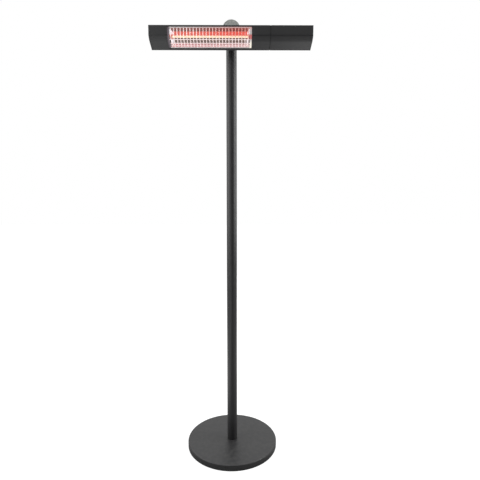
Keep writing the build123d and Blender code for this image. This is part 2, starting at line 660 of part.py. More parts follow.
with BuildPart() as hinge_washers:
    for washer_x in (-FORK_INSIDE_WIDTH / 2, FORK_INSIDE_WIDTH / 2 - HINGE_WASHER_THICKNESS):
        extrude(
            circles(Plane.YZ.offset(washer_x), PIVOT, HINGE_WASHER_DIAMETER / 2),
            amount=HINGE_WASHER_THICKNESS,
        )
    extrude(
        circles(Plane.YZ, PIVOT, HINGE_BOLT_RADIUS + THREAD_CLEARANCE),
        amount=FORK_INSIDE_WIDTH,
        both=True,
        mode=Mode.SUBTRACT,
    )

with BuildPart() as knob_washer:
    washer_plane = Plane.YZ.offset(FORK_HALF_WIDTH)
    extrude(circles(washer_plane, PIVOT, KNOB_WASHER_DIAMETER / 2), amount=KNOB_WASHER_THICKNESS)
    extrude(
        circles(washer_plane, PIVOT, HINGE_BOLT_RADIUS + THREAD_CLEARANCE),
        amount=KNOB_WASHER_THICKNESS,
        mode=Mode.SUBTRACT,
    )

with BuildPart() as clamp_knob:
    with BuildSketch(Plane.YZ.offset(KNOB_START_X)):
        with Locations((PIVOT_Y, PIVOT_Z)):
            Circle(KNOB_CORE_RADIUS)
            with PolarLocations(KNOB_CORE_RADIUS, KNOB_LOBES):
                Circle(KNOB_LOBE_RADIUS)
    extrude(amount=KNOB_LENGTH)
    fillet(clamp_knob.edges().group_by(Axis.X)[-1], KNOB_LOBE_RADIUS / 3)
    extrude(
        circles(Plane.YZ.offset(KNOB_START_X), PIVOT, HINGE_BOLT_RADIUS + RUNNING_CLEARANCE),
        amount=KNOB_BORE_DEPTH,
        mode=Mode.SUBTRACT,
    )

# ---- Head housings and ends ------------------------------------------------------------------


def housing(start_x, end_x, boss_end_x):
    """Adds a length of the head's shell, with screw bosses at the end that carries a head end."""
    inward = 1 if boss_end_x < 0 else -1
    boss_plane = Plane.YZ.offset(boss_end_x)
    extrude(head_section(start_x), amount=end_x - start_x)
    extrude(head_section(start_x, HEAD_WALL), amount=end_x - start_x, mode=Mode.SUBTRACT)
    extrude(circles(boss_plane, CAP_SCREW_PLACES, CAP_BOSS_RADIUS), amount=inward * CAP_BOSS_LENGTH)
    extrude(
        circles(boss_plane, CAP_SCREW_PLACES, CAP_SCREW_DIAMETER / 2 + THREAD_CLEARANCE),
        amount=inward * CAP_BOSS_LENGTH,
        mode=Mode.SUBTRACT,
    )


with BuildPart() as head_housing:
    housing(-CAP_INNER_X, SEAM_LEFT_X, -CAP_INNER_X)
    block(
        (WINDOW_LEFT_X, HEAD_FRONT_Y - HEAD_WALL, HEAD_BOTTOM_Z - HEAD_WALL),
        (WINDOW_RIGHT_X, WINDOW_BACK_Y, WINDOW_TOP_Z),
        mode=Mode.SUBTRACT,
    )
    extrude(
        circles(at_y(HEAD_BACK_Y), BRACKET_SCREW_PLACES, BRACKET_SCREW_DIAMETER / 2 + BOLT_CLEARANCE),
        amount=HEAD_WALL,
        mode=Mode.SUBTRACT,
    )

with BuildPart() as control_housing:
    housing(SEAM_RIGHT_X, CAP_INNER_X, CAP_INNER_X)
    extrude(
        circles(at_y(HEAD_BACK_Y), [(GLAND_X, GLAND_Z)], GLAND_THREAD_DIAMETER / 2 + THREAD_CLEARANCE),
        amount=HEAD_WALL,
        mode=Mode.SUBTRACT,
    )

with BuildPart() as joint_collar:
    extrude(head_section(COLLAR_X, HEAD_WALL + SLIDE_IN_CLEARANCE), amount=COLLAR_LENGTH)
    extrude(
        head_section(COLLAR_X, HEAD_WALL + SLIDE_IN_CLEARANCE + COLLAR_WALL),
        amount=COLLAR_LENGTH,
        mode=Mode.SUBTRACT,
    )

with BuildPart() as seam_gasket:
    extrude(head_section(SEAM_LEFT_X, GASKET_RECESS), amount=SEAM_WIDTH)
    extrude(
        head_section(SEAM_LEFT_X, HEAD_WALL + SLIDE_IN_CLEARANCE),
        amount=SEAM_WIDTH,
        mode=Mode.SUBTRACT,
    )


def end_cap(side):
    """Adds a moulded head end: a plate with a skirt, and tubes that meet the housing's bosses."""
    hollow_depth = CAP_DEPTH - CAP_PLATE
    inner_x = side * CAP_INNER_X
    inner_plane = Plane.YZ.offset(inner_x)
    screw_radius = CAP_SCREW_DIAMETER / 2 + THREAD_CLEARANCE
    head_radius = CAP_SCREW_HEAD_DIAMETER / 2 + THREAD_CLEARANCE
    extrude(head_section(inner_x), amount=side * CAP_DEPTH)
    extrude(head_section(inner_x, HEAD_WALL), amount=side * hollow_depth, mode=Mode.SUBTRACT)
    extrude(circles(inner_plane, CAP_SCREW_PLACES, CAP_BOSS_RADIUS), amount=side * hollow_depth)
    extrude(circles(inner_plane, CAP_SCREW_PLACES, screw_radius), amount=side * CAP_DEPTH, mode=Mode.SUBTRACT)
    extrude(
        circles(Plane.YZ.offset(side * HEAD_END_X), CAP_SCREW_PLACES, head_radius),
        amount=-side * CAP_SCREW_HEAD_HEIGHT,
        mode=Mode.SUBTRACT,
    )


with BuildPart() as end_cap_left:
    end_cap(-1)

with BuildPart() as end_cap_right:
    end_cap(1)
    flange_half = SWITCH_FLANGE_HEIGHT / 2 + SWITCH_CLEARANCE
    body_half = SWITCH_BODY_HEIGHT / 2 + SWITCH_CLEARANCE
    flange_side = SWITCH_FLANGE_WIDTH / 2 + SWITCH_CLEARANCE
    body_side = SWITCH_BODY_WIDTH / 2 + SWITCH_CLEARANCE
    block(
        (SWITCH_FACE_X - SWITCH_FLANGE_THICKNESS, SWITCH_Y - flange_side, SWITCH_Z - flange_half),
        (HEAD_END_X, SWITCH_Y + flange_side, SWITCH_Z + flange_half),
        mode=Mode.SUBTRACT,
    )
    block(
        (CAP_INNER_X, SWITCH_Y - body_side, SWITCH_Z - body_half),
        (HEAD_END_X, SWITCH_Y + body_side, SWITCH_Z + body_half),
        mode=Mode.SUBTRACT,
    )

with BuildPart() as end_cap_screws:
    for side in (-1, 1):
        head_plane = Plane.YZ.offset(side * HEAD_END_X)
        extrude(
            circles(head_plane, CAP_SCREW_PLACES, CAP_SCREW_HEAD_DIAMETER / 2),
            amount=-side * CAP_SCREW_HEAD_HEIGHT,
        )
        extrude(circles(head_plane, CAP_SCREW_PLACES, CAP_SCREW_DIAMETER / 2), amount=-side * CAP_SCREW_LENGTH)

# ---- Window frame and guard ------------------------------------------------------------------

with BuildPart() as window_frame:
    frame_x = WINDOW_LEFT_X - FRAME_OVERLAP
    frame_length = WINDOW_WIDTH + 2 * FRAME_OVERLAP
    extrude(head_section(frame_x, FRAME_INSET), amount=frame_length)
    extrude(head_section(frame_x, FRAME_INSET + FRAME_THICKNESS), amount=frame_length, mode=Mode.SUBTRACT)
    block(
        (frame_x, HEAD_FRONT_Y, HEAD_BOTTOM_Z),
        (frame_x + frame_length, WINDOW_BACK_Y + FRAME_OVERLAP, WINDOW_TOP_Z + FRAME_OVERLAP / 2),
        mode=Mode.INTERSECT,
    )
    block(
        (frame_x, HEAD_FRONT_Y + HEAD_DEPTH / 2, HEAD_TOP_Z - NOSE_DROP),
        (frame_x + frame_length, HEAD_BACK_Y, HEAD_TOP_Z),
        mode=Mode.SUBTRACT,
    )
    block(
        (WINDOW_LEFT_X + FRAME_SIDE, HEAD_FRONT_Y, HEAD_BOTTOM_Z),
        (WINDOW_RIGHT_X - FRAME_SIDE, WINDOW_BACK_Y - FRAME_EDGE, WINDOW_TOP_Z - FRAME_EDGE),
        mode=Mode.SUBTRACT,
    )


def guard_path(inset):
    """The line that a guard wire's middle follows down the front and back along the underside."""
    top, nose, under, bottom, _ = inset_corners(HEAD_CORNERS, inset)
    start = Vector(top.X, WINDOW_TOP_Z - GUARD_WIRE_DIAMETER / 2)
    end_y = WINDOW_BACK_Y - GUARD_WIRE_DIAMETER / 2
    end = under + (bottom - under) * ((end_y - under.X) / (bottom.X - under.X))
    points = [(0, corner.X, corner.Y) for corner in (start, nose, under, end)]
    with BuildLine() as path:
        FilletPolyline(*points, radius=[NOSE_RADIUS - inset, UNDER_RADIUS - inset])
    return path.line.wires()[0]


with BuildPart() as guard_wire:
    wire_line = guard_path(GUARD_INSET)
    with BuildSketch(Plane(origin=wire_line @ 0, z_dir=wire_line % 0)):
        Circle(GUARD_WIRE_DIAMETER / 2)
    sweep(path=wire_line)

with BuildPart() as guard_wires:
    with Locations((WINDOW_MIDDLE_X, 0, 0)):
        with GridLocations(GUARD_WIRE_PITCH, 1, GUARD_WIRE_COUNT, 1):
            add(guard_wire.part)

with BuildPart() as guard_rods:
    rod_line = guard_path(ROD_INSET)
    rod_places = [(rod_line.position_at(place).Y, rod_line.position_at(place).Z) for place in GUARD_ROD_PLACES]
    extrude(
        circles(Plane.YZ.offset(WINDOW_MIDDLE_X), rod_places, GUARD_ROD_DIAMETER / 2),
        amount=WINDOW_WIDTH / 2 - FRAME_SIDE / 2,
        both=True,
    )

# ---- Reflector -------------------------------------------------------------------------------

TROUGH_BACK_Y = HEAD_FRONT_Y + REFLECTOR_DEPTH
TROUGH_FRONT_Y = HEAD_FRONT_Y + REFLECTOR_FRONT_INSET
TROUGH_BOTTOM_Z = HEAD_TOP_Z - REFLECTOR_FALL
TROUGH_TOP_Z = HEAD_TOP_Z - REFLECTOR_TOP_DROP
OPENING_LEFT_X = WINDOW_LEFT_X + FRAME_SIDE
OPENING_RIGHT_X = WINDOW_RIGHT_X - FRAME_SIDE

with BuildPart() as reflector:
    extrude(trough_section(OPENING_LEFT_X, REFLECTOR_SHEET), amount=OPENING_RIGHT_X - OPENING_LEFT_X)
    extrude(trough_section(OPENING_LEFT_X), amount=OPENING_RIGHT_X - OPENING_LEFT_X, mode=Mode.SUBTRACT)
    block(
        (OPENING_LEFT_X, TROUGH_FRONT_Y, TROUGH_BOTTOM_Z),
        (OPENING_RIGHT_X, TROUGH_BACK_Y + REFLECTOR_SHEET, TROUGH_TOP_Z + REFLECTOR_SHEET),
        mode=Mode.INTERSECT,
    )

# The right post stands beside the head bracket's screws
with BuildPart() as reflector_posts:
    right_post_x = BRACKET_SCREW_SPACING_X / 2 + POST_SCREW_DISTANCE
    post_z = HEAD_TOP_Z - REFLECTOR_POST_DROP
    post_places = [(right_post_x, post_z), (right_post_x - REFLECTOR_POST_SPACING, post_z)]
    extrude(
        circles(at_y(BACK_INSIDE_Y), post_places, REFLECTOR_POST_DIAMETER / 2),
        amount=BACK_INSIDE_Y - TROUGH_BACK_Y - REFLECTOR_SHEET,
    )


def reflector_end(side):
    """A plate across the trough that leans inwards towards the back, holed for the lamp."""
    front_x = OPENING_LEFT_X if side < 0 else OPENING_RIGHT_X
    back_x = front_x - side * END_PLATE_FLARE
    thickness = -side * END_PLATE_THICKNESS
    with BuildPart() as piece:
        with BuildSketch(Plane.XY.offset(HEAD_BOTTOM_Z)):
            with BuildLine():
                Polyline(
                    (front_x, TROUGH_FRONT_Y),
                    (back_x, TROUGH_BACK_Y),
                    (back_x + thickness, TROUGH_BACK_Y),
                    (front_x + thickness, TROUGH_FRONT_Y),
                    close=True,
                )
            make_face()
        extrude(amount=HEAD_HEIGHT)
        span = abs(front_x - back_x) + END_PLATE_THICKNESS
        low_x = min(front_x, back_x + thickness)
        extrude(trough_section(low_x), amount=span, mode=Mode.INTERSECT)
        extrude(head_section(low_x, ROD_INSET + GUARD_ROD_DIAMETER), amount=span, mode=Mode.INTERSECT)
        block(
            (low_x, TROUGH_FRONT_Y, TROUGH_BOTTOM_Z),
            (low_x + span, TROUGH_BACK_Y, TROUGH_TOP_Z),
            mode=Mode.INTERSECT,
        )
        extrude(
            circles(Plane.YZ.offset(low_x), [(LAMP_Y, LAMP_Z)], LAMP_PLATE_HOLE_DIAMETER / 2),
            amount=span,
            mode=Mode.SUBTRACT,
        )
    return piece


reflector_end_left = reflector_end(-1)
reflector_end_right = reflector_end(1)

# ---- Lamp ------------------------------------------------------------------------------------

LAMP_AXIS = [(LAMP_Y, LAMP_Z)]
LAMP_MIDDLE_PLANE = Plane.YZ.offset(WINDOW_MIDDLE_X)

with BuildPart() as lamp_tube:
    extrude(circles(LAMP_MIDDLE_PLANE, LAMP_AXIS, LAMP_DIAMETER / 2), amount=LAMP_HALF, both=True)
    extrude(
        circles(LAMP_MIDDLE_PLANE, LAMP_AXIS, LAMP_DIAMETER / 2 - LAMP_WALL),
        amount=LAMP_HALF,
        both=True,
        mode=Mode.SUBTRACT,
    )

with BuildPart() as filament:
    for diameter, half_length in ((FILAMENT_DIAMETER, FILAMENT_LENGTH / 2), (FILAMENT_TAIL_DIAMETER, LAMP_HALF)):
        extrude(circles(LAMP_MIDDLE_PLANE, LAMP_AXIS, diameter / 2), amount=half_length, both=True)


def lamp_ceramic(side):
    """The ceramic that closes one end of the lamp tube."""
    end_plane = Plane.YZ.offset(WINDOW_MIDDLE_X + side * LAMP_HALF)
    with BuildPart() as piece:
        extrude(circles(end_plane, LAMP_AXIS, CERAMIC_DIAMETER / 2), amount=side * CERAMIC_LENGTH)
        chamfer(piece.edges().filter_by(GeomType.CIRCLE), CERAMIC_CHAMFER)
    return piece


def lamp_clip(side):
    """A sheet angle on the head's back wall whose web holds a lamp ceramic."""
    web_x = WINDOW_MIDDLE_X + side * (LAMP_HALF + CERAMIC_LENGTH / 2)
    low_z, high_z = LAMP_Z - CLIP_HEIGHT / 2, LAMP_Z + CLIP_HEIGHT / 2
    with BuildPart() as piece:
        block(
            (web_x, LAMP_Y - CLIP_HEIGHT / 2, low_z),
            (web_x + side * CLIP_SHEET, BACK_INSIDE_Y, high_z),
        )
        block((web_x, BACK_INSIDE_Y - CLIP_SHEET, low_z), (web_x + side * CLIP_FOOT, BACK_INSIDE_Y, high_z))
        extrude(
            circles(Plane.YZ.offset(web_x), LAMP_AXIS, CERAMIC_DIAMETER / 2 + SLIDE_IN_CLEARANCE),
            amount=side * CLIP_SHEET,
            mode=Mode.SUBTRACT,
        )
    return piece


lamp_ceramic_left = lamp_ceramic(-1)
lamp_ceramic_right = lamp_ceramic(1)
lamp_clip_left = lamp_clip(-1)
lamp_clip_right = lamp_clip(1)

# ---- Controls --------------------------------------------------------------------------------

with BuildPart() as heat_shield:
    lead_places = [(LAMP_Y, LAMP_Z), (LEAD_BACK_Y, LEAD_BACK_Z)]
    extrude(head_section(SHIELD_X, HEAD_WALL + SLIDE_IN_CLEARANCE), amount=SHIELD_THICKNESS)
    extrude(
        circles(Plane.YZ.offset(SHIELD_X), lead_places, LEAD_HOLE_DIAMETER / 2),
        amount=SHIELD_THICKNESS,
        mode=Mode.SUBTRACT,
    )

with BuildPart() as control_board:
    block(
        (BOARD_LEFT_X, BOARD_FRONT_Y, BOARD_TOP_Z - BOARD_HEIGHT),
        (BOARD_LEFT_X + BOARD_LENGTH, BOARD_Y, BOARD_TOP_Z),
    )

BOARD_MIDDLE = (BOARD_LEFT_X + BOARD_LENGTH / 2, BOARD_TOP_Z - BOARD_HEIGHT / 2)

with BuildPart() as board_standoffs:
    with BuildSketch(at_y(BACK_INSIDE_Y)):
        with Locations(BOARD_MIDDLE):
            with GridLocations(BOARD_LENGTH - 2 * STANDOFF_INSET, BOARD_HEIGHT - 2 * STANDOFF_INSET, 2, 2):
                Circle(STANDOFF_RADIUS)
    extrude(amount=STANDOFF_HEIGHT)



def on_board(share_x, share_z):
    """The place on the board's front at shares of its length and height from its middle."""
    middle_x, middle_z = BOARD_MIDDLE
    return Locations((middle_x + share_x * BOARD_LENGTH, middle_z + share_z * BOARD_HEIGHT))


with BuildPart() as board_parts:
    for place, (share_long, share_high), depth in (
        (RELAY_PLACE, RELAY_FACE, RELAY_DEPTH),
        (TRANSFORMER_PLACE, TRANSFORMER_FACE, TRANSFORMER_DEPTH),
    ):
        with BuildSketch(at_y(BOARD_FRONT_Y)):
            with on_board(*place):
                Rectangle(share_long * BOARD_LENGTH, share_high * BOARD_HEIGHT)
        extrude(amount=depth)
    with BuildSketch(at_y(BOARD_FRONT_Y)):
        with on_board(*CAPACITOR_PLACE):
            Circle(CAPACITOR_DIAMETER / 2)
    extrude(amount=CAPACITOR_LENGTH)

with BuildPart() as terminal_block:
    block(
        (TERMINAL_LEFT_X, BACK_INSIDE_Y - TERMINAL_DEPTH, TERMINAL_Z - TERMINAL_HEIGHT / 2),
        (TERMINAL_RIGHT_X, BACK_INSIDE_Y, TERMINAL_Z + TERMINAL_HEIGHT / 2),
    )
    with BuildSketch(at_y(BACK_INSIDE_Y - TERMINAL_DEPTH)):
        with Locations((TERMINAL_LEFT_X + TERMINAL_LENGTH / 2, TERMINAL_Z)):
            with GridLocations(TERMINAL_LENGTH / TERMINAL_WAYS, TERMINAL_HEIGHT / 2, TERMINAL_WAYS, 2):
                Circle(TERMINAL_HOLE_DIAMETER / 2)
    extrude(amount=-TERMINAL_HOLE_DEPTH, mode=Mode.SUBTRACT)

GLAND_PLACE = [(GLAND_X, GLAND_Z)]

with BuildPart() as cord_gland:
    inside_length = HEAD_WALL + GLAND_NUT_THICKNESS + GLAND_THREAD_END
    extrude(hexagons(at_y(HEAD_BACK_Y), GLAND_PLACE, GLAND_HEX_FLATS), amount=-GLAND_HEX_THICKNESS)
    extrude(circles(at_y(HEAD_BACK_Y), GLAND_PLACE, GLAND_THREAD_DIAMETER / 2), amount=inside_length)
    extrude(
        circles(at_y(HEAD_BACK_Y + GLAND_HEX_THICKNESS), GLAND_PLACE, GLAND_DOME_DIAMETER / 2),
        amount=-GLAND_DOME_LENGTH,
    )
    fillet(cord_gland.edges().group_by(Axis.Y)[-1], GLAND_DOME_DIAMETER / 8)
    extrude(
        circles(at_y(HEAD_BACK_Y), GLAND_PLACE, GLAND_BORE_DIAMETER / 2),
        amount=GLAND_DOME_LENGTH + GLAND_HEX_THICKNESS + inside_length,
        both=True,
        mode=Mode.SUBTRACT,
    )

with BuildPart() as gland_nut:
    extrude(hexagons(at_y(BACK_INSIDE_Y), GLAND_PLACE, GLAND_HEX_FLATS), amount=GLAND_NUT_THICKNESS)
    extrude(
        circles(at_y(BACK_INSIDE_Y), GLAND_PLACE, GLAND_THREAD_DIAMETER / 2 + THREAD_CLEARANCE),
        amount=GLAND_NUT_THICKNESS,
        mode=Mode.SUBTRACT,
    )


def lead(points):
    """An insulated lead of straight runs joined by bends."""
    with BuildPart() as piece:
        with BuildLine() as route:
            FilletPolyline(*points, radius=LEAD_BEND_RADIUS)
        line = route.wires()[0]
        with BuildSketch(Plane(origin=line @ 0, z_dir=line % 0)):
            Circle(LEAD_DIAMETER / 2)
        sweep(path=line)
    return piece


LEFT_LEAD_X = WINDOW_MIDDLE_X - LAMP_HALF - CERAMIC_LENGTH
RIGHT_LEAD_X = WINDOW_MIDDLE_X + LAMP_HALF + CERAMIC_LENGTH
LEAD_LOOP = 2.5 * LEAD_BEND_RADIUS
TERMINAL_FRONT_Y = BACK_INSIDE_Y - TERMINAL_DEPTH

left_lead = lead(
    [
        (LEFT_LEAD_X, LAMP_Y, LAMP_Z),
        (LEFT_LEAD_X - LEAD_LOOP, LAMP_Y, LAMP_Z),
        (LEFT_LEAD_X - LEAD_LOOP, LEAD_BACK_Y, LEAD_BACK_Z),
        (TERMINAL_LEFT_X - LEAD_LOOP, LEAD_BACK_Y, LEAD_BACK_Z),
        (TERMINAL_LEFT_X - LEAD_BEND_RADIUS, LEAD_BACK_Y - LEAD_DIAMETER, TERMINAL_Z),
        (TERMINAL_LEFT_X, LEAD_BACK_Y - LEAD_DIAMETER, TERMINAL_Z),
    ]
)
right_lead = lead(
    [
        (RIGHT_LEAD_X, LAMP_Y, LAMP_Z),
        (TERMINAL_LEFT_X - 2 * LEAD_LOOP, LAMP_Y, LAMP_Z),
        (TERMINAL_LEFT_X - LEAD_BEND_RADIUS, TERMINAL_FRONT_Y + LEAD_DIAMETER, TERMINAL_Z),
        (TERMINAL_LEFT_X, TERMINAL_FRONT_Y + LEAD_DIAMETER, TERMINAL_Z),
    ]
)

with BuildPart() as lamp_leads:
    add(left_lead.part)
    add(right_lead.part)

# ---- Rocker switch ---------------------------------------------------------------------------

with BuildPart() as switch_frame:
    block(
        (BODY_X, SWITCH_Y - SWITCH_BODY_WIDTH / 2, SWITCH_Z - SWITCH_BODY_HEIGHT / 2),
        (SWITCH_FACE_X, SWITCH_Y + SWITCH_BODY_WIDTH / 2, SWITCH_Z + SWITCH_BODY_HEIGHT / 2),
    )
    block(
        (
            SWITCH_FACE_X - SWITCH_FLANGE_THICKNESS,
            SWITCH_Y - SWITCH_FLANGE_WIDTH / 2,
            SWITCH_Z - SWITCH_FLANGE_HEIGHT / 2,
        ),
        (SWITCH_FACE_X, SWITCH_Y + SWITCH_FLANGE_WIDTH / 2, SWITCH_Z + SWITCH_FLANGE_HEIGHT / 2),
    )
    block(
        (
            BODY_X + SWITCH_WALL,
            SWITCH_Y - SWITCH_BODY_WIDTH / 2 + SWITCH_WALL,
            SWITCH_Z - SWITCH_BODY_HEIGHT / 2 + SWITCH_WALL,
        ),
        (
            SWITCH_FACE_X,
            SWITCH_Y + SWITCH_BODY_WIDTH / 2 - SWITCH_WALL,
            SWITCH_Z + SWITCH_BODY_HEIGHT / 2 - SWITCH_WALL,
        ),
        mode=Mode.SUBTRACT,
    )
    extrude(
        circles(at_y(SWITCH_Y), [(ROCKER_X, SWITCH_Z)], ROCKER_PIN_DIAMETER / 2 + RUNNING_CLEARANCE),
        amount=SWITCH_BODY_WIDTH / 2,
        both=True,
        mode=Mode.SUBTRACT,
    )

# The rocker is made as it stands when it is on, with its lower half pressed in
with BuildPart() as rocker:
    half_width = SWITCH_BODY_WIDTH / 2 - SWITCH_WALL - ROCKER_SIDE_CLEARANCE
    end_height = ROCKER_FACE_HEIGHT + ROCKER_HALF_LENGTH * tan(radians(ROCKER_TILT))
    rocker_plane = Plane(
        origin=(ROCKER_X, SWITCH_Y, SWITCH_Z),
        x_dir=(cos(radians(ROCKER_TILT)), 0, -sin(radians(ROCKER_TILT))),
        z_dir=(0, -1, 0),
    )
    with BuildSketch(rocker_plane):
        with BuildLine():
            Polyline(
                (-ROCKER_BACK_DEPTH, 0),
                (0, -ROCKER_HALF_LENGTH),
                (end_height, -ROCKER_HALF_LENGTH),
                (ROCKER_FACE_HEIGHT, 0),
                (end_height, ROCKER_HALF_LENGTH),
                (0, ROCKER_HALF_LENGTH),
                close=True,
            )
        make_face()
    extrude(amount=half_width, both=True)
    extrude(
        circles(rocker_plane, [(0, 0)], ROCKER_PIN_DIAMETER / 2),
        amount=SWITCH_BODY_WIDTH / 2,
        both=True,
    )

# ---- Files -----------------------------------------------------------------------------------

PIECES = {
    "base_cover": base_cover,
    "base_plate": base_plate,
    "base_weight": base_weight,
    "base_feet": base_feet,
    "base_plate_screws": base_plate_screws,
    "pole_bolt": pole_bolt,
    "pole_bolt_washer": pole_bolt_washer,
    "pole_foot_plug": pole_foot_plug,
    "pole": pole,
    "pole_cap": pole_cap,
    "front_saddle": front_saddle,
    "rear_saddle": rear_saddle,
    "mount_disc": mount_disc,
    "saddle_bolts": saddle_bolts,
    "saddle_nuts": saddle_nuts,
    "fork_bracket": fork_bracket,
    "head_bracket": head_bracket,
    "head_bracket_screws": head_bracket_screws,
    "head_bracket_nuts": head_bracket_nuts,
    "hinge_bolt": hinge_bolt,
    "hinge_washers": hinge_washers,
    "knob_washer": knob_washer,
    "clamp_knob": clamp_knob,
    "head_housing": head_housing,
    "control_housing": control_housing,
    "joint_collar": joint_collar,
    "seam_gasket": seam_gasket,
    "end_cap_left": end_cap_left,
    "end_cap_right": end_cap_right,
    "end_cap_screws": end_cap_screws,
    "window_frame": window_frame,
    "guard_wires": guard_wires,
    "guard_rods": guard_rods,
    "reflector": reflector,
    "reflector_posts": reflector_posts,
    "reflector_end_left": reflector_end_left,
    "reflector_end_right": reflector_end_right,
    "lamp_tube": lamp_tube,
    "filament": filament,
    "lamp_ceramic_left": lamp_ceramic_left,
    "lamp_ceramic_right": lamp_ceramic_right,
    "lamp_clip_left": lamp_clip_left,
    "lamp_clip_right": lamp_clip_right,
    "heat_shield": heat_shield,
    "control_board": control_board,
    "board_standoffs": board_standoffs,
    "board_parts": board_parts,
    "terminal_block": terminal_block,
    "cord_gland": cord_gland,
    "gland_nut": gland_nut,
    "lamp_leads": lamp_leads,
    "switch_frame": switch_frame,
    "rocker": rocker,
}

os.makedirs("parts", exist_ok=True)
for name, piece in PIECES.items():
    piece.part.label = name
    export_step(piece.part, f"parts/{name}.step")
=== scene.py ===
import json
from math import cos, pi, radians, sin, tau

import bmesh
import bpy
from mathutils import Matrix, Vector


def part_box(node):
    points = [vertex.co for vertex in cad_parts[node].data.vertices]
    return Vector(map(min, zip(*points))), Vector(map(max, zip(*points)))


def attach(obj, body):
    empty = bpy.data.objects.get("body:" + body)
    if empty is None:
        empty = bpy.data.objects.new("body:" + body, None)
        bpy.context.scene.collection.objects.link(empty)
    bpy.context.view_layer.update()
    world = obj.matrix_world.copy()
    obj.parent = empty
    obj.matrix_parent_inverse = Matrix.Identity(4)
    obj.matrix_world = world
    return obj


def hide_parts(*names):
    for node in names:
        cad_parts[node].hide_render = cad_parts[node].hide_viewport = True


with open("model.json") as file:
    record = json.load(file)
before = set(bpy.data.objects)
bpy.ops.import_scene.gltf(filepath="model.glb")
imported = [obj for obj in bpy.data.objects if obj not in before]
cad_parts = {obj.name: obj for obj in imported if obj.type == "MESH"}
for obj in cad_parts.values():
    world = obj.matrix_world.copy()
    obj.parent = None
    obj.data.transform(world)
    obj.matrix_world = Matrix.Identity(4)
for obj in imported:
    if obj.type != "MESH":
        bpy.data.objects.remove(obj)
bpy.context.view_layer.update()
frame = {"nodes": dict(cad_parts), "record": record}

# ---- Sizes, in metres, and angles, in degrees ------------------------------------------------

MM = 0.001

# Places in the frame that the finishes and the coil follow
LAMP_LOW, LAMP_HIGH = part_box("lamp_tube")
LAMP_AXIS_Y = (LAMP_LOW.y + LAMP_HIGH.y) / 2
LAMP_AXIS_Z = (LAMP_LOW.z + LAMP_HIGH.z) / 2
TROUGH_LOW, TROUGH_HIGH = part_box("reflector")

# Camera: its place and aim come from the pole, the base's ellipses and the head's outline
IMAGE_SIDE_PIXELS = 480
FOCAL_LENGTH_PIXELS = 415
SENSOR_WIDTH_MM = 36.0
CAMERA_PLACE = (0.0278, -2.0400, 1.2982)
CAMERA_PITCH_DOWN = 6.440
CAMERA_TURN_RIGHT = 0.350

# Lamp coil
COIL_WIRE_RADIUS = 0.45 * MM
COIL_RADIUS = 2.4 * MM
COIL_PITCH = 2.4 * MM
COIL_STEPS_PER_TURN = 12
COIL_WIRE_SIDES = 6
TAIL_LENGTH = 12 * MM
TAIL_GAP = 2 * MM
SUPPORT_COUNT = 9
SUPPORT_RADIUS = 3.15 * MM
SUPPORT_WIRE_RADIUS = 0.25 * MM
SUPPORT_WIRE_SIDES = 8

# Meshes made here
TURNED_SIDES = 48
SHARP_ANGLE = 32
WELD_DIGITS = 6
SMALLEST_DIVISOR = 0.01

# Fasteners: each solid's place and outer size come from the frame. HEAD is a head's height, SHANK a
# shank's radius, PLAIN its length without thread, THREAD its length with thread, FLATS and SOCKET a
# hexagon across its flats, RECESS a recess's depth, ARM the width of a cross recess's arms and CROSS
# their reach as a share of the head's radius.
CAP_SCREW_HEAD = 2.3 * MM
CAP_SCREW_SHANK = 1.6 * MM
CAP_SCREW_PLAIN = 4.0 * MM
CAP_SCREW_CROSS = 0.58
CAP_SCREW_ARM = 0.9 * MM
CAP_SCREW_RECESS = 1.3 * MM
PLATE_SCREW_HEAD = 2.0 * MM
PLATE_SCREW_SHANK = 2.5 * MM
PLATE_SCREW_PLAIN = 2.0 * MM
PLATE_SCREW_CROSS = 0.55
PLATE_SCREW_ARM = 1.1 * MM
PLATE_SCREW_RECESS = 1.4 * MM
BRACKET_SCREW_HEAD = 2.6 * MM
BRACKET_SCREW_SHANK = 2.5 * MM
BRACKET_SCREW_PLAIN = 1.0 * MM
BRACKET_SCREW_SOCKET = 3.0 * MM
BRACKET_SCREW_RECESS = 1.6 * MM
SADDLE_BOLT_HEAD = 4.5 * MM
SADDLE_BOLT_SHANK = 4.0 * MM
SADDLE_BOLT_THREAD = 14.0 * MM
SADDLE_BOLT_SOCKET = 5.0 * MM
SADDLE_BOLT_RECESS = 2.6 * MM
SADDLE_NUT_FLATS = 13.0 * MM
HINGE_BOLT_HEAD = 5.0 * MM
HINGE_BOLT_FLATS = 13.0 * MM
HINGE_BOLT_SHANK = 4.0 * MM
HINGE_BOLT_THREAD = 20.0 * MM
POLE_BOLT_HEAD = 7.5 * MM
POLE_BOLT_FLATS = 19.0 * MM
POLE_BOLT_SHANK = 6.0 * MM
POLE_BOLT_THREAD = 22.0 * MM
THREAD_PITCH = 1.25 * MM
THREAD_DEPTH = 0.45 * MM

# Edges of the fasteners: a SHARE is of the radius, or of the distance across a hexagon's flats. The
# dome's outline is shares of its radius and its height.
TIP_SHARE = 0.7
TIP_LENGTH = 0.3 * MM
CHAMFER_SLOPE = 0.6
CHAMFER_SHARE = 0.47
WASHER_FACE_SHARE = 0.46
WASHER_FACE_HEIGHT = 0.4 * MM
BORE_CHAMFER_WIDTH = 0.5 * MM
BORE_CHAMFER_DEPTH = 0.4 * MM
COUNTERSUNK_RIM = 0.2 * MM
DOME_OUTLINE = ((1.0, 0.0), (1.0, 0.40), (0.95, 0.66), (0.84, 0.86), (0.66, 1.0))

# Feet: the outline is shares of the radius, each with its height
FOOT_OUTLINE = (
    (0.45, 0.9 * MM),
    (0.62, 0.6 * MM),
    (0.68, 0.0),
    (0.90, 0.0),
    (0.97, 0.4 * MM),
    (1.0, 1.2 * MM),
)
FOOT_TOP_SHARE = 0.98

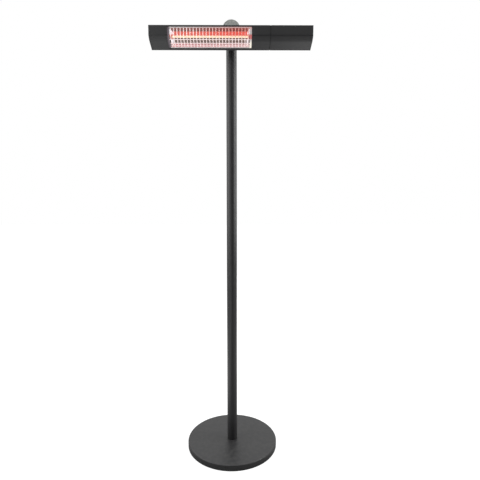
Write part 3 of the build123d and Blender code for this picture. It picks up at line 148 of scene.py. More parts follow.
# Cord gland: the dome's outline is shares of its radius, each with its depth behind the gland's mouth
GLAND_FLATS = 19.0 * MM
GLAND_FACE_RADIUS = GLAND_FLATS * 0.46
GLAND_HEX_LENGTH = 5.0 * MM
GLAND_DOME_RADIUS = 8.5 * MM
GLAND_DOME_GAP = 0.3 * MM
GLAND_DOME_OUTLINE = ((0.94, 3.6 * MM), (0.86, 1.8 * MM), (0.72, 0.5 * MM), (0.62, 0.0))
GLAND_THREAD_RADIUS = 8.0 * MM
GLAND_BORE_RADIUS = 4.2 * MM
GLAND_BORE_CHAMFER = 0.6 * MM
GLAND_RIB_COUNT = 24
GLAND_RIB_DEPTH = 0.45 * MM
GLAND_RIB_END = 4.5 * MM
SEAL_RADIUS = 3.3 * MM
SEAL_CLEARANCE = 0.05 * MM
SEAL_BACK = 6.0 * MM
SEAL_FRONT = 1.2 * MM
SEAL_LIP = 1.8 * MM

# Clamp knob: the dish in its end is shares of the hub's radius, each with its depth
KNOB_CORE_RADIUS = 12.5 * MM
KNOB_LOBE_RADIUS = 3.3 * MM
KNOB_LOBES = 6
KNOB_HUB_RADIUS = 9.0 * MM
KNOB_HUB_LENGTH = 3.0 * MM
KNOB_BORE_RADIUS = 4.1 * MM
KNOB_BORE_DEPTH = 15.0 * MM
KNOB_ROUNDING = 2.2 * MM
KNOB_ROUNDING_STEPS = 4
KNOB_BACK_CHAMFER = KNOB_ROUNDING * 0.6
KNOB_DISH = ((1.0, 0.0), (0.9, 1.0 * MM), (0.3, 1.2 * MM))

# Rocker marks, and how closely a face has to point one way, where 1 is exactly
MARK_HEIGHT = 0.15 * MM
MARK_LINE_WIDTH = 0.7 * MM
MARK_SIZE = 3.6 * MM
POINTS_OUT = 0.9
POINTS_ALIKE = 0.9999


# ---- Shader sockets --------------------------------------------------------------------------


class Socket:
    """A node's output in a shader tree, so that shader maths reads as Python sums."""

    def __init__(self, tree, output=None):
        self.tree = tree
        self.output = output

    def node(self, kind, settings=None, values=None, output=0):
        """Adds a node: its settings first, then the values or links of its sockets."""
        made = self.tree.nodes.new(kind)
        for name, setting in (settings or {}).items():
            if name == "stops":
                set_ramp(made.color_ramp, setting)
            else:
                setattr(made, name, setting)
        for name, value in (values or {}).items():
            if isinstance(value, Socket):
                self.tree.links.new(value.output, made.inputs[name])
            else:
                made.inputs[name].default_value = value
        return Socket(self.tree, made.outputs[output] if len(made.outputs) else None)

    def math(self, operation, *terms):
        return self.node("ShaderNodeMath", {"operation": operation}, dict(enumerate(terms)))

    def __add__(self, other):
        return self.math("ADD", self, other)

    def __radd__(self, other):
        return self.math("ADD", other, self)

    def __sub__(self, other):
        return self.math("SUBTRACT", self, other)

    def __rsub__(self, other):
        return self.math("SUBTRACT", other, self)

    def __mul__(self, other):
        return self.math("MULTIPLY", self, other)

    def __rmul__(self, other):
        return self.math("MULTIPLY", other, self)


def set_ramp(ramp, stops):
    """Gives a colour ramp its stops, each a position and a colour."""
    for spare in list(ramp.elements)[1:]:
        ramp.elements.remove(spare)
    ramp.elements[0].position, ramp.elements[0].color = stops[0]
    for position, colour in stops[1:]:
        ramp.elements.new(position).color = colour


def grey(level):
    return (level, level, level, 1)


def rgb(red, green, blue):
    return (red, green, blue, 1)


def object_place(start):
    """Where a point of the piece is, in metres."""
    return start.node("ShaderNodeTexCoord", output="Object")


def stretched(place, scale):
    """The place with each axis scaled, for grain that runs one way."""
    return place.node("ShaderNodeVectorMath", {"operation": "MULTIPLY"}, {0: place, 1: scale})


def noise(place, scale, detail=2.0):
    values = {"Vector": place, "Scale": scale, "Detail": detail}
    return place.node("ShaderNodeTexNoise", {}, values, output="Fac")


def cells(place, scale):
    return place.node("ShaderNodeTexVoronoi", {}, {"Vector": place, "Scale": scale}, output="Distance")


def band(value, low, high):
    """0 below low, 1 above high and smooth between them."""
    settings = {"interpolation_type": "SMOOTHSTEP"}
    return value.node("ShaderNodeMapRange", settings, {"Value": value, "From Min": low, "From Max": high})


def mix(factor, first, second):
    """A colour from first, at factor 0, to second, at factor 1."""
    settings = {"data_type": "RGBA"}
    return factor.node("ShaderNodeMix", settings, {0: factor, 6: first, 7: second}, output=2)


def axis_values(place):
    """The X, Y and Z of a place."""
    return [place.node("ShaderNodeSeparateXYZ", {}, {0: place}, output=axis) for axis in range(3)]


def bumped(height, depth, strength):
    """The surface's normal, raised by a height from 0 to 1 times the depth."""
    return height.node("ShaderNodeBump", {}, {"Height": height, "Distance": depth, "Strength": strength})


def finish(name, build):
    """A material whose surface comes from build, which is given the tree's starting socket."""
    material = bpy.data.materials.new(name)
    material.use_nodes = True
    material.node_tree.nodes.clear()
    start = Socket(material.node_tree)
    start.node("ShaderNodeOutputMaterial", {}, {"Surface": build(start)})
    return material


def principled(start, **values):
    """A Principled surface. Names with spaces are written with underscores."""
    return start.node("ShaderNodeBsdfPrincipled", {}, {k.replace("_", " "): v for k, v in values.items()})


# ---- Finishes --------------------------------------------------------------------------------

CHARCOAL = (0.020, 0.020, 0.021)


def tone(colour, factor):
    return rgb(*(factor * level for level in colour))


def powder_coat(start):
    """Fine-textured charcoal powder coat, a little paler where dust has settled on top."""
    place = object_place(start)
    peel = noise(place, 900, 3)
    pits = cells(place, 1500)
    clouds = noise(place, 14, 3)
    normal = start.node("ShaderNodeNewGeometry", output="Normal")
    dust = band(axis_values(normal)[2], 0.75, 1.0) * band(noise(place, 55, 4), 0.35, 0.75)
    coat = mix(clouds, tone(CHARCOAL, 0.85), tone(CHARCOAL, 1.15))
    speckled = mix(band(peel, 0.55, 0.75), coat, tone(CHARCOAL, 1.6))
    dusted = mix(dust * 0.25, speckled, rgb(0.10, 0.098, 0.095))
    return principled(
        start,
        Base_Color=dusted,
        Roughness=0.36 + peel * 0.10 + dust * 0.10,
        Normal=bumped(peel * 0.7 + pits * 0.3, 0.12 * MM, 0.5),
    )


def moulded_plastic(colour, roughness):
    """Moulded plastic with a fine spark-eroded grain."""

    def build(start):
        place = object_place(start)
        grain = cells(place, 1300)
        flow = noise(stretched(place, (1, 1, 3)), 9, 2)
        return principled(
            start,
            Base_Color=mix(flow, tone(colour, 0.85), tone(colour, 1.2)),
            Roughness=roughness + grain * 0.12,
            Normal=bumped(grain, 0.08 * MM, 0.5),
        )

    return build


def grey_enamel(start):
    """Light grey paint with faint mottling."""
    place = object_place(start)
    peel = noise(place, 700, 2)
    clouds = noise(place, 40, 3)
    return principled(
        start,
        Base_Color=mix(clouds, rgb(0.55, 0.57, 0.54), rgb(0.62, 0.64, 0.61)),
        Roughness=0.42 + peel * 0.12,
        Normal=bumped(peel, 0.08 * MM, 0.4),
    )


def brushed_metal(colour, roughness, grain_scale):
    """Metal with fine lines along one axis and a slight stain."""

    def build(start):
        place = object_place(start)
        lines = noise(stretched(place, grain_scale), 1, 3)
        stain = noise(place, 60, 3)
        return principled(
            start,
            Base_Color=mix(stain, tone(colour, 0.82), tone(colour, 1.0)),
            Metallic=1.0,
            Roughness=roughness + lines * 0.14,
            Normal=bumped(lines, 0.03 * MM, 0.5),
        )

    return build


def cast_iron(start):
    """Rough cast iron with sand marks and a little rust."""
    place = object_place(start)
    sand = cells(place, 420)
    lumps = noise(place, 70, 4)
    rust = band(noise(place, 24, 5), 0.55, 0.70)
    return principled(
        start,
        Base_Color=mix(rust, rgb(0.05, 0.05, 0.052), rgb(0.10, 0.045, 0.022)),
        Metallic=1.0 - rust,
        Roughness=0.60 + sand * 0.2,
        Normal=bumped(sand * 0.5 + lumps, 0.5 * MM, 0.6),
    )


def rubber(start):
    """Black rubber with a dull, dusty grain."""
    place = object_place(start)
    grain = noise(place, 1100, 3)
    dust = band(noise(place, 90, 3), 0.5, 0.8)
    return principled(
        start,
        Base_Color=mix(dust * 0.4, rgb(0.012, 0.012, 0.012), rgb(0.05, 0.048, 0.045)),
        Roughness=0.75 + grain * 0.15,
        Normal=bumped(grain, 0.1 * MM, 0.4),
    )


# GLOW_RED is the lamp's red light, painted on the reflector's shoulder; GLOW_CREAM is the glow of the
# lamp itself.
GLOW_RED = (0.62, 0.085, 0.070)
GLOW_CREAM = (1.00, 0.80, 0.58)

# Where the lamp's light and shade are painted on the sheets round it. STREAK_FALL is a slope, and the
# rest are distances: for the painted shade down from the reflector's top, for LIP, DULL and FROM from its
# ends, and otherwise up or down from the lamp's axis.
STREAK_FALL = 0.36
STREAK_CORE = 5 * MM
STREAK_EDGE = 15 * MM
SHOULDER_START = 6 * MM
SHOULDER_FULL = 11 * MM
TOP_SHADE_START = 5 * MM
TOP_SHADE_FULL = 1.5 * MM
PINK_START = 19 * MM
PINK_FULL = 27 * MM
CREAM_START = 22 * MM
CREAM_FULL = 34 * MM
LIP_BLEND = 1 * MM
DULL_BLEND = 2 * MM
GUARD_RED_START = 18 * MM
GUARD_RED_FULL = 10 * MM
GUARD_RED_FROM_LEFT = 60 * MM
GUARD_RED_FROM_RIGHT = 40 * MM


def lamp_streak(place):
    """1 where red light from the lamp's end is painted on a sheet beside it, in a streak that falls to
    the front.
    """
    _, y, z = axis_values(place)
    above = z - (y - LAMP_AXIS_Y) * STREAK_FALL - LAMP_AXIS_Z
    return 1 - band(above.math("ABSOLUTE", above), STREAK_CORE, STREAK_EDGE)


def below_lamp(z, start, full):
    """0 down to a start below the lamp's axis, 1 from where it is full and smooth between them."""
    return 1 - band(z, LAMP_AXIS_Z - full, LAMP_AXIS_Z - start)


def mirror_aluminium(start):
    """Reflector sheet with the lamp's light painted on as colour and glow: painted shade behind the lamp,
    painted pink light below it, painted red light on its shoulder and a dim, reddish painted shade on
    top.
    """
    place = object_place(start)
    x, _, z = axis_values(place)
    lines = noise(stretched(place, (20, 1400, 1400)), 1, 2)
    stain = noise(place, 35, 4)
    # Painted light and shade from the lamp: shade along the top, red light on the shoulder, pink light
    # low down, shade behind the lamp, with colours that change from left to right.
    right = band(x, TROUGH_LOW.x, TROUGH_HIGH.x)
    painted_top_shade = band(z, TROUGH_HIGH.z - TOP_SHADE_START, TROUGH_HIGH.z - TOP_SHADE_FULL)
    lit = band(z, LAMP_AXIS_Z + SHOULDER_START, LAMP_AXIS_Z + SHOULDER_FULL) * (1 - painted_top_shade)
    low = below_lamp(z, PINK_START, PINK_FULL)
    sheet_dark = mix(stain, rgb(0.19, 0.175, 0.175), rgb(0.25, 0.235, 0.235))
    sheet_low = mix(right, rgb(0.50, 0.33, 0.34), rgb(0.52, 0.42, 0.42))
    sheet_lit = mix(right, rgb(0.40, 0.17, 0.16), rgb(0.36, 0.075, 0.065))
    sheet_top_shaded = mix(right, rgb(0.20, 0.13, 0.12), rgb(0.17, 0.07, 0.06))
    glow_dark = rgb(0.045, 0.036, 0.034)
    glow_low = mix(right, rgb(0.29, 0.11, 0.12), rgb(0.29, 0.17, 0.17))
    glow_lit = mix(right, tone(GLOW_RED, 0.68), tone(GLOW_RED, 0.88))
    glow_top_shaded = mix(right, rgb(0.12, 0.075, 0.070), rgb(0.13, 0.040, 0.035))
    return principled(
        start,
        Base_Color=mix(lit, mix(painted_top_shade, mix(low, sheet_dark, sheet_low), sheet_top_shaded), sheet_lit),
        Metallic=0.75,
        Roughness=0.30 + lines * 0.10,
        Emission_Color=mix(lit, mix(painted_top_shade, mix(low, glow_dark, glow_low), glow_top_shaded), glow_lit),
        Emission_Strength=1.0,
        Normal=bumped(lines, 0.02 * MM, 0.5),
    )


def lit_end_plate(start):
    """The pale plates across the ends of the reflector, with the lamp's light painted on as colour and
    glow: cream low down and red beside the lamp.
    """
    place = object_place(start)
    _, _, z = axis_values(place)
    stain = noise(place, 60, 3)
    lines = noise(stretched(place, (1400, 20, 1400)), 1, 2)
    # Painted red light beside the lamp and painted cream light low down; the pale glow elsewhere is
    # painted lamp light too.
    near = lamp_streak(place)
    glow = mix(below_lamp(z, CREAM_START, CREAM_FULL), rgb(0.60, 0.62, 0.66), rgb(0.66, 0.61, 0.46))
    sheet = mix(stain, rgb(0.66, 0.66, 0.68), rgb(0.80, 0.80, 0.82))
    return principled(
        start,
        Base_Color=mix(near, sheet, rgb(0.30, 0.09, 0.07)),
        Metallic=0.4,
        Roughness=0.38 + lines * 0.10,
        Emission_Color=mix(near, glow, rgb(0.42, 0.08, 0.06)),
        Emission_Strength=1.0,
        Normal=bumped(lines, 0.02 * MM, 0.5),
    )


def window_sheet(start):
    """The bright frame round the window, darker and purplish at its left end, with the lamp's light
    painted on as glow elsewhere: red above the lamp, and a red streak and cream light at its right end.
    """
    place = object_place(start)
    x, _, z = axis_values(place)
    lines = noise(stretched(place, (20, 900, 900)), 1, 2)
    stain = noise(place, 45, 3)
    dull = 1 - band(x, TROUGH_LOW.x - DULL_BLEND, TROUGH_LOW.x + LIP_BLEND)
    sheet = mix(stain, rgb(0.50, 0.48, 0.48), rgb(0.64, 0.61, 0.61))
    # Painted red glow above the lamp, and at the right end a painted red streak and painted cream light
    # below the lamp; the grey glow elsewhere is painted lamp light too.
    painted_red_glow = band(x, TROUGH_LOW.x, TROUGH_HIGH.x) * band(z, LAMP_AXIS_Z, TROUGH_HIGH.z)
    right_end = band(x, TROUGH_HIGH.x - LIP_BLEND, TROUGH_HIGH.x + LIP_BLEND)
    streak = right_end * lamp_streak(place)
    painted_cream_light = right_end * below_lamp(z, CREAM_START, CREAM_FULL)
    lift = mix(painted_red_glow, rgb(0.20, 0.18, 0.175), rgb(0.30, 0.11, 0.10))
    glow = mix(painted_cream_light, lift, rgb(0.62, 0.57, 0.46))
    return principled(
        start,
        Base_Color=mix(streak, mix(dull, sheet, rgb(0.15, 0.125, 0.145)), rgb(0.34, 0.12, 0.12)),
        Metallic=0.5,
        Roughness=0.42 + lines * 0.10,
        Emission_Color=mix(streak, mix(dull, glow, rgb(0.02, 0.015, 0.018)), rgb(0.36, 0.09, 0.09)),
        Emission_Strength=1.0,
        Normal=bumped(lines, 0.02 * MM, 0.5),
    )


def guard_steel(start):
    """Bright drawn wire with the lamp's light behind it painted on as colour and glow: pale pink, and red
    at its upper right.
    """
    place = object_place(start)
    x, _, z = axis_values(place)
    draw = noise(stretched(place, (1800, 60, 60)), 1, 2)
    scale = band(noise(place, 120, 3), 0.45, 0.8)
    # Painted red glow from the lamp on the guard's upper right; the pale pink and the glow elsewhere are
    # painted lamp light too.
    above = band(z, LAMP_AXIS_Z - GUARD_RED_START, LAMP_AXIS_Z - GUARD_RED_FULL)
    painted_red_glow = above * band(x, TROUGH_LOW.x + GUARD_RED_FROM_LEFT, TROUGH_HIGH.x - GUARD_RED_FROM_RIGHT)
    pale = mix(scale * 0.5, rgb(0.90, 0.84, 0.84), rgb(0.70, 0.58, 0.55))
    glow = mix(scale * 0.5, rgb(0.36, 0.27, 0.27), rgb(0.26, 0.15, 0.13))
    return principled(
        start,
        Base_Color=mix(painted_red_glow, pale, rgb(0.62, 0.34, 0.31)),
        Metallic=0.45,
        Roughness=0.38 + draw * 0.12,
        Emission_Color=mix(painted_red_glow, glow, rgb(0.34, 0.12, 0.105)),
        Emission_Strength=1.0,
        Normal=bumped(draw, 0.02 * MM, 0.4),
    )


def quartz(start):
    """Quartz lit through by the coil: cream, with faint draw lines."""
    place = object_place(start)
    film = noise(stretched(place, (12, 300, 300)), 1, 2)
    return principled(
        start,
        Base_Color=mix(film, rgb(0.50, 0.40, 0.28), rgb(0.60, 0.50, 0.36)),
        Roughness=0.06 + film * 0.05,
        Alpha=0.55 + film * 0.08,
        Coat_Weight=0.3 + film * 0.1,
        Emission_Color=mix(film, tone(GLOW_CREAM, 0.95), tone(GLOW_CREAM, 1.0)),
        Emission_Strength=0.72,
    )


def glowing_coil(start):
    """Tungsten at working heat."""
    place = object_place(start)
    turns = noise(stretched(place, (900, 200, 200)), 1, 1)
    return principled(
        start,
        Base_Color=mix(turns, rgb(0.2, 0.15, 0.12), rgb(0.3, 0.2, 0.15)),
        Roughness=0.5 + turns * 0.1,
        Emission_Color=mix(turns, tone(GLOW_CREAM, 0.9), tone(GLOW_CREAM, 1.0)),
        Emission_Strength=1.3,
    )


def ceramic(start):
    """Off-white fired ceramic, faintly speckled."""
    place = object_place(start)
    specks = band(cells(place, 800), 0.02, 0.12)
    clouds = noise(place, 90, 3)
    body = mix(clouds, rgb(0.62, 0.58, 0.52), rgb(0.74, 0.71, 0.66))
    return principled(
        start,
        Base_Color=mix(specks, rgb(0.35, 0.32, 0.28), body),
        Roughness=0.55 + clouds * 0.15,
        Normal=bumped(clouds, 0.1 * MM, 0.4),
    )


def circuit_board(start):
    """Green solder mask with paler tracks."""
    place = object_place(start)
    tracks = band(noise(stretched(place, (250, 20, 60)), 1, 1), 0.48, 0.52)
    weave = noise(place, 1500, 2)
    return principled(
        start,
        Base_Color=mix(tracks, rgb(0.010, 0.075, 0.030), rgb(0.020, 0.14, 0.055)),
        Roughness=0.30 + weave * 0.15,
        Normal=bumped(tracks, 0.03 * MM, 0.6),
    )


def sleeved_lead(start):
    """Woven glass sleeve over the lamp's leads."""
    place = object_place(start)
    values = {"Vector": place, "Scale": 260.0, "Distortion": 2.0}
    weave = place.node("ShaderNodeTexWave", {"wave_type": "BANDS"}, values, output="Fac")
    dirt = noise(place, 70, 3)
    return principled(
        start,
        Base_Color=mix(dirt, rgb(0.55, 0.52, 0.46), rgb(0.70, 0.68, 0.62)),
        Roughness=0.7 + weave * 0.1,
        Normal=bumped(weave, 0.15 * MM, 0.6),
    )


STEEL = (0.52, 0.52, 0.53)

FINISHES = {
    "powder_coat": powder_coat,
    "cap_plastic": moulded_plastic(CHARCOAL, 0.38),
    "black_plastic": moulded_plastic((0.012, 0.012, 0.013), 0.42),
    "grey_plate": grey_enamel,
    "steel": brushed_metal(STEEL, 0.30, (40, 900, 900)),
    "cast_weight": cast_iron,
    "rubber": rubber,
    "reflector": mirror_aluminium,
    "guard": guard_steel,
    "quartz": quartz,
    "filament": glowing_coil,
    "ceramic": ceramic,
    "board": circuit_board,
    "lead": sleeved_lead,
}
materials = {slot: finish(slot, build) for slot, build in FINISHES.items()}


def dress(piece, material):
    piece.data.materials.clear()
    piece.data.materials.append(material)


# ---- CAD pieces ------------------------------------------------------------------------------

for part in frame["record"]["subparts"]:
    dress(frame["nodes"][part["node"]], materials[part["material_slot"]])
dress(frame["nodes"]["window_frame"], finish("window_sheet", window_sheet))
end_plate_finish = finish("lit_end_plate", lit_end_plate)
for side in ("left", "right"):
    dress(frame["nodes"]["reflector_end_" + side], end_plate_finish)


# ---- Pieces made here ------------------------------------------------------------------------


def finished_piece(name, sheet, slot, body, *replaced):
    """Puts a bmesh in the scene as a piece of the heater, smooth apart from its sharp edges."""
    mesh = bpy.data.meshes.new(name)
    sheet.to_mesh(mesh)
    sheet.free()
    for face in mesh.polygons:
        face.use_smooth = True
    mesh.set_sharp_from_angle(angle=radians(SHARP_ANGLE))
    piece = bpy.data.objects.new(name, mesh)
    bpy.context.scene.collection.objects.link(piece)
    dress(piece, materials[slot])
    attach(piece, body)
    if replaced:
        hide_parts(*replaced)


def solids(node):
    """The lowest and highest corners of each separate solid of a CAD node."""
    mesh = frame["nodes"][node].data
    keys = [tuple(round(axis, WELD_DIGITS) for axis in vertex.co) for vertex in mesh.vertices]
    leader = {key: key for key in keys}

    def lead(key):
        while leader[key] != key:
            key = leader[key]
        return key

    for face in mesh.polygons:
        first = lead(keys[face.vertices[0]])
        for index in face.vertices:
            leader[lead(keys[index])] = first
    groups = {}
    for key in leader:
        groups.setdefault(lead(key), []).append(key)
    boxes = [
        (Vector([min(axis) for axis in zip(*points)]), Vector([max(axis) for axis in zip(*points)]))
        for points in groups.values()
    ]
    return sorted(boxes, key=lambda box: tuple(box[0]))


def at_angle(value, angle):
    return value(angle) if callable(value) else value


def turned(sheet, origin, axis, rings, closed=False):
    """Adds a turned solid: each ring is a radius and a height, and either may follow the angle.

    A closed outline joins its last ring to its first, which leaves a hole along the axis.
    """
    turn = Vector(axis).to_track_quat("Z", "Y").to_matrix()
    loops = []
    for radius, height in rings:
        loop = []
        for side in range(TURNED_SIDES):
            angle = tau * side / TURNED_SIDES
            reach = at_angle(radius, angle)
            point = Vector((reach * cos(angle), reach * sin(angle), at_angle(height, angle)))
            loop.append(sheet.verts.new(Vector(origin) + turn @ point))
        loops.append(loop)
    following = loops[1:] + loops[:1] if closed else loops[1:]
    for before, after in zip(loops, following):
        for side in range(TURNED_SIDES):
            other = (side + 1) % TURNED_SIDES
            sheet.faces.new((before[side], before[other], after[other], after[side]))
    if not closed:
        sheet.faces.new(reversed(loops[0]))
        sheet.faces.new(loops[-1])


def hexagon(across_flats):
    """The radius of a hexagon at an angle."""
    return lambda angle: across_flats / 2 / cos(angle % (tau / 6) - tau / 12)


def cross(reach, arm_width):
    """The radius of a cross recess at an angle."""

    def radius(angle):
        from_arm = abs((angle + tau / 8) % (tau / 4) - tau / 8)
        return min(reach, arm_width / 2 / max(sin(from_arm), SMALLEST_DIVISOR))

    return radius


def bar(length, width):
    """The radius of a straight bar at an angle, whose length runs along the second axis."""

    def radius(angle):
        to_side = width / 2 / max(abs(cos(angle)), SMALLEST_DIVISOR)
        to_end = length / 2 / max(abs(sin(angle)), SMALLEST_DIVISOR)
        return min(to_side, to_end)

    return radius


def corner_drop(across_flats):
    """How far a hexagon's chamfered top is below its middle at an angle."""
    shape = hexagon(across_flats)
    return lambda angle: (shape(angle) - across_flats / 2) * CHAMFER_SLOPE


def thread(radius, start, end):
    """Rings of a thread from start to end."""
    turns = int((end - start) / THREAD_PITCH)
    rings = []
    for turn in range(turns):
        rings.append((radius - THREAD_DEPTH, start + turn * THREAD_PITCH))
        rings.append((radius, start + (turn + 0.5) * THREAD_PITCH))
    return rings


def shank(radius, length, threaded):
    """Rings from a bolt's tip up to its head, threaded over a length from the tip."""
    return [
        (radius * TIP_SHARE, -length),
        *thread(radius, -length + TIP_LENGTH, -length + threaded),
        (radius, -length + threaded),
        (radius, 0),
    ]


def dome_head(radius, height, recess, recess_depth):
    """Rings of a low round head with a recess."""
    return [
        *((radius * reach, height * rise) for reach, rise in DOME_OUTLINE),
        (recess, height),
        (recess, height - recess_depth),
    ]


def countersunk_head(shank_radius, radius, height, recess, recess_depth):
    """Rings of a flat head that widens from its shank."""
    return [
        (shank_radius, 0),
        (radius, height - COUNTERSUNK_RIM),
        (radius, height),
        (recess, height),
        (recess, height - recess_depth),
    ]


def hex_head(across_flats, height):
    """Rings of a hexagon head with a turned chamfer and a washer face under it."""
    shape = hexagon(across_flats)
    drop = corner_drop(across_flats)
    return [
        (across_flats * WASHER_FACE_SHARE, 0),
        (across_flats * WASHER_FACE_SHARE, WASHER_FACE_HEIGHT),
        (shape, WASHER_FACE_HEIGHT),
        (shape, lambda angle: height - drop(angle)),
        (across_flats * CHAMFER_SHARE, height),
    ]


def nut(across_flats, height, bore_radius):
    """Closed rings of a nut with both faces chamfered."""
    shape = hexagon(across_flats)
    drop = corner_drop(across_flats)
    return [
        (bore_radius, BORE_CHAMFER_DEPTH),
        (bore_radius + BORE_CHAMFER_WIDTH, 0),
        (across_flats * CHAMFER_SHARE, 0),
        (shape, drop),
        (shape, lambda angle: height - drop(angle)),
        (across_flats * CHAMFER_SHARE, height),
        (bore_radius + BORE_CHAMFER_WIDTH, height),
        (bore_radius, height - BORE_CHAMFER_DEPTH),
    ]


def bolt_place(low, high, way, head):
    """Where a bolt's head starts and how long its shank is. The way points from shank to head."""
    axis = max(range(3), key=lambda index: abs(way[index]))
    start = (low + high) / 2
    start[axis] = high[axis] - head if way[axis] > 0 else low[axis] + head
    return start, high[axis] - low[axis] - head


def make_end_cap_screws():
    sheet = bmesh.new()
    for low, high in solids("end_cap_screws"):
        way = (1 if low.x > 0 else -1, 0, 0)
        origin, length = bolt_place(low, high, way, CAP_SCREW_HEAD)
        radius = (high.y - low.y) / 2
        recess = cross(radius * CAP_SCREW_CROSS, CAP_SCREW_ARM)
        rings = shank(CAP_SCREW_SHANK, length, length - CAP_SCREW_PLAIN)
        head = dome_head(radius, CAP_SCREW_HEAD, recess, CAP_SCREW_RECESS)
        turned(sheet, origin, way, rings + head)
    finished_piece("cross_cap_screws", sheet, "steel", "head", "end_cap_screws")


def make_base_plate_screws():
    sheet = bmesh.new()
    way = (0, 0, -1)
    for low, high in solids("base_plate_screws"):
        origin, length = bolt_place(low, high, way, PLATE_SCREW_HEAD)
        radius = (high.x - low.x) / 2
        recess = cross(radius * PLATE_SCREW_CROSS, PLATE_SCREW_ARM)
        rings = shank(PLATE_SCREW_SHANK, length, length - PLATE_SCREW_PLAIN)
        head = countersunk_head(PLATE_SCREW_SHANK, radius, PLATE_SCREW_HEAD, recess, PLATE_SCREW_RECESS)
        turned(sheet, origin, way, rings + head)
    finished_piece("cross_plate_screws", sheet, "steel", "stand", "base_plate_screws")


def make_bracket_screws():
    sheet = bmesh.new()
    way = (0, 1, 0)
    for low, high in solids("head_bracket_screws"):
        origin, length = bolt_place(low, high, way, BRACKET_SCREW_HEAD)
        recess = hexagon(BRACKET_SCREW_SOCKET)
        rings = shank(BRACKET_SCREW_SHANK, length, length - BRACKET_SCREW_PLAIN)
        head = dome_head((high.x - low.x) / 2, BRACKET_SCREW_HEAD, recess, BRACKET_SCREW_RECESS)
        turned(sheet, origin, way, rings + head)
    finished_piece("socket_bracket_screws", sheet, "steel", "head", "head_bracket_screws")


def make_saddle_bolts():
    sheet = bmesh.new()
    way = (0, -1, 0)
    for low, high in solids("saddle_bolts"):
        origin, length = bolt_place(low, high, way, SADDLE_BOLT_HEAD)
        recess = hexagon(SADDLE_BOLT_SOCKET)
        rings = shank(SADDLE_BOLT_SHANK, length, SADDLE_BOLT_THREAD)
        head = dome_head((high.x - low.x) / 2, SADDLE_BOLT_HEAD, recess, SADDLE_BOLT_RECESS)
        turned(sheet, origin, way, rings + head)
    finished_piece("socket_saddle_bolts", sheet, "steel", "stand", "saddle_bolts")


def make_saddle_nuts():
    sheet = bmesh.new()
    for low, high in solids("saddle_nuts"):
        middle = (low + high) / 2
        rings = nut(SADDLE_NUT_FLATS, high.y - low.y, SADDLE_BOLT_SHANK)
        turned(sheet, (middle.x, low.y, middle.z), (0, 1, 0), rings, closed=True)
    finished_piece("chamfered_saddle_nuts", sheet, "steel", "stand", "saddle_nuts")


def make_hex_bolt(name, node, way, flats, head, radius, threaded):
    """A bolt with a hexagon head, in place of a CAD bolt."""
    origin, length = bolt_place(*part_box(node), way, head)
    sheet = bmesh.new()
    turned(sheet, origin, way, shank(radius, length, threaded) + hex_head(flats, head))
    finished_piece(name, sheet, "steel", "stand", node)


def make_feet():
    """Rubber feet with a rounded rim and a dished sole."""
    sheet = bmesh.new()
    for low, high in solids("base_feet"):
        middle = (low + high) / 2
        radius = (high.x - low.x) / 2
        rings = [(radius * share, height) for share, height in FOOT_OUTLINE]
        rings.append((radius * FOOT_TOP_SHARE, high.z - low.z))
        turned(sheet, (middle.x, middle.y, low.z), (0, 0, 1), rings)
    finished_piece("dished_feet", sheet, "rubber", "stand", "base_feet")


def make_gland():
    """The cord gland: threaded behind, hexagonal at the wall, with a ribbed dome nut and a seal."""
    low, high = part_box("cord_gland")
    middle = (low + high) / 2
    wall_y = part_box("head_housing")[1].y
    behind = low.y - wall_y
    ahead = high.y - wall_y
    shape = hexagon(GLAND_FLATS)
    drop = corner_drop(GLAND_FLATS)

    def ribbed(radius):
        return lambda angle: radius - (GLAND_RIB_DEPTH if cos(GLAND_RIB_COUNT * angle) < 0 else 0)

    rings = [
        (GLAND_BORE_RADIUS, behind),
        *thread(GLAND_THREAD_RADIUS, behind, -THREAD_PITCH),
        (GLAND_THREAD_RADIUS, 0),
        (GLAND_FLATS * CHAMFER_SHARE, 0),
        (shape, drop),
        (shape, lambda angle: GLAND_HEX_LENGTH - drop(angle)),
        (GLAND_FACE_RADIUS, GLAND_HEX_LENGTH),
        (ribbed(GLAND_DOME_RADIUS), GLAND_HEX_LENGTH + GLAND_DOME_GAP),
        (ribbed(GLAND_DOME_RADIUS), ahead - GLAND_RIB_END),
        *((GLAND_DOME_RADIUS * share, ahead - depth) for share, depth in GLAND_DOME_OUTLINE),
        (GLAND_BORE_RADIUS + GLAND_BORE_CHAMFER, ahead),
        (GLAND_BORE_RADIUS, ahead - GLAND_BORE_CHAMFER),
    ]
    origin = (middle.x, wall_y, middle.z)
    sheet = bmesh.new()
    turned(sheet, origin, (0, 1, 0), rings, closed=True)
    finished_piece("ribbed_cord_gland", sheet, "black_plastic", "head", "cord_gland")
    seal = [
        (SEAL_RADIUS, ahead - SEAL_BACK),
        (GLAND_BORE_RADIUS - SEAL_CLEARANCE, ahead - SEAL_BACK),
        (GLAND_BORE_RADIUS - SEAL_CLEARANCE, ahead - SEAL_FRONT),
        (SEAL_RADIUS, ahead - SEAL_LIP),
    ]
    sheet = bmesh.new()
    turned(sheet, origin, (0, 1, 0), seal, closed=True)
    finished_piece("gland_seal", sheet, "rubber", "head")


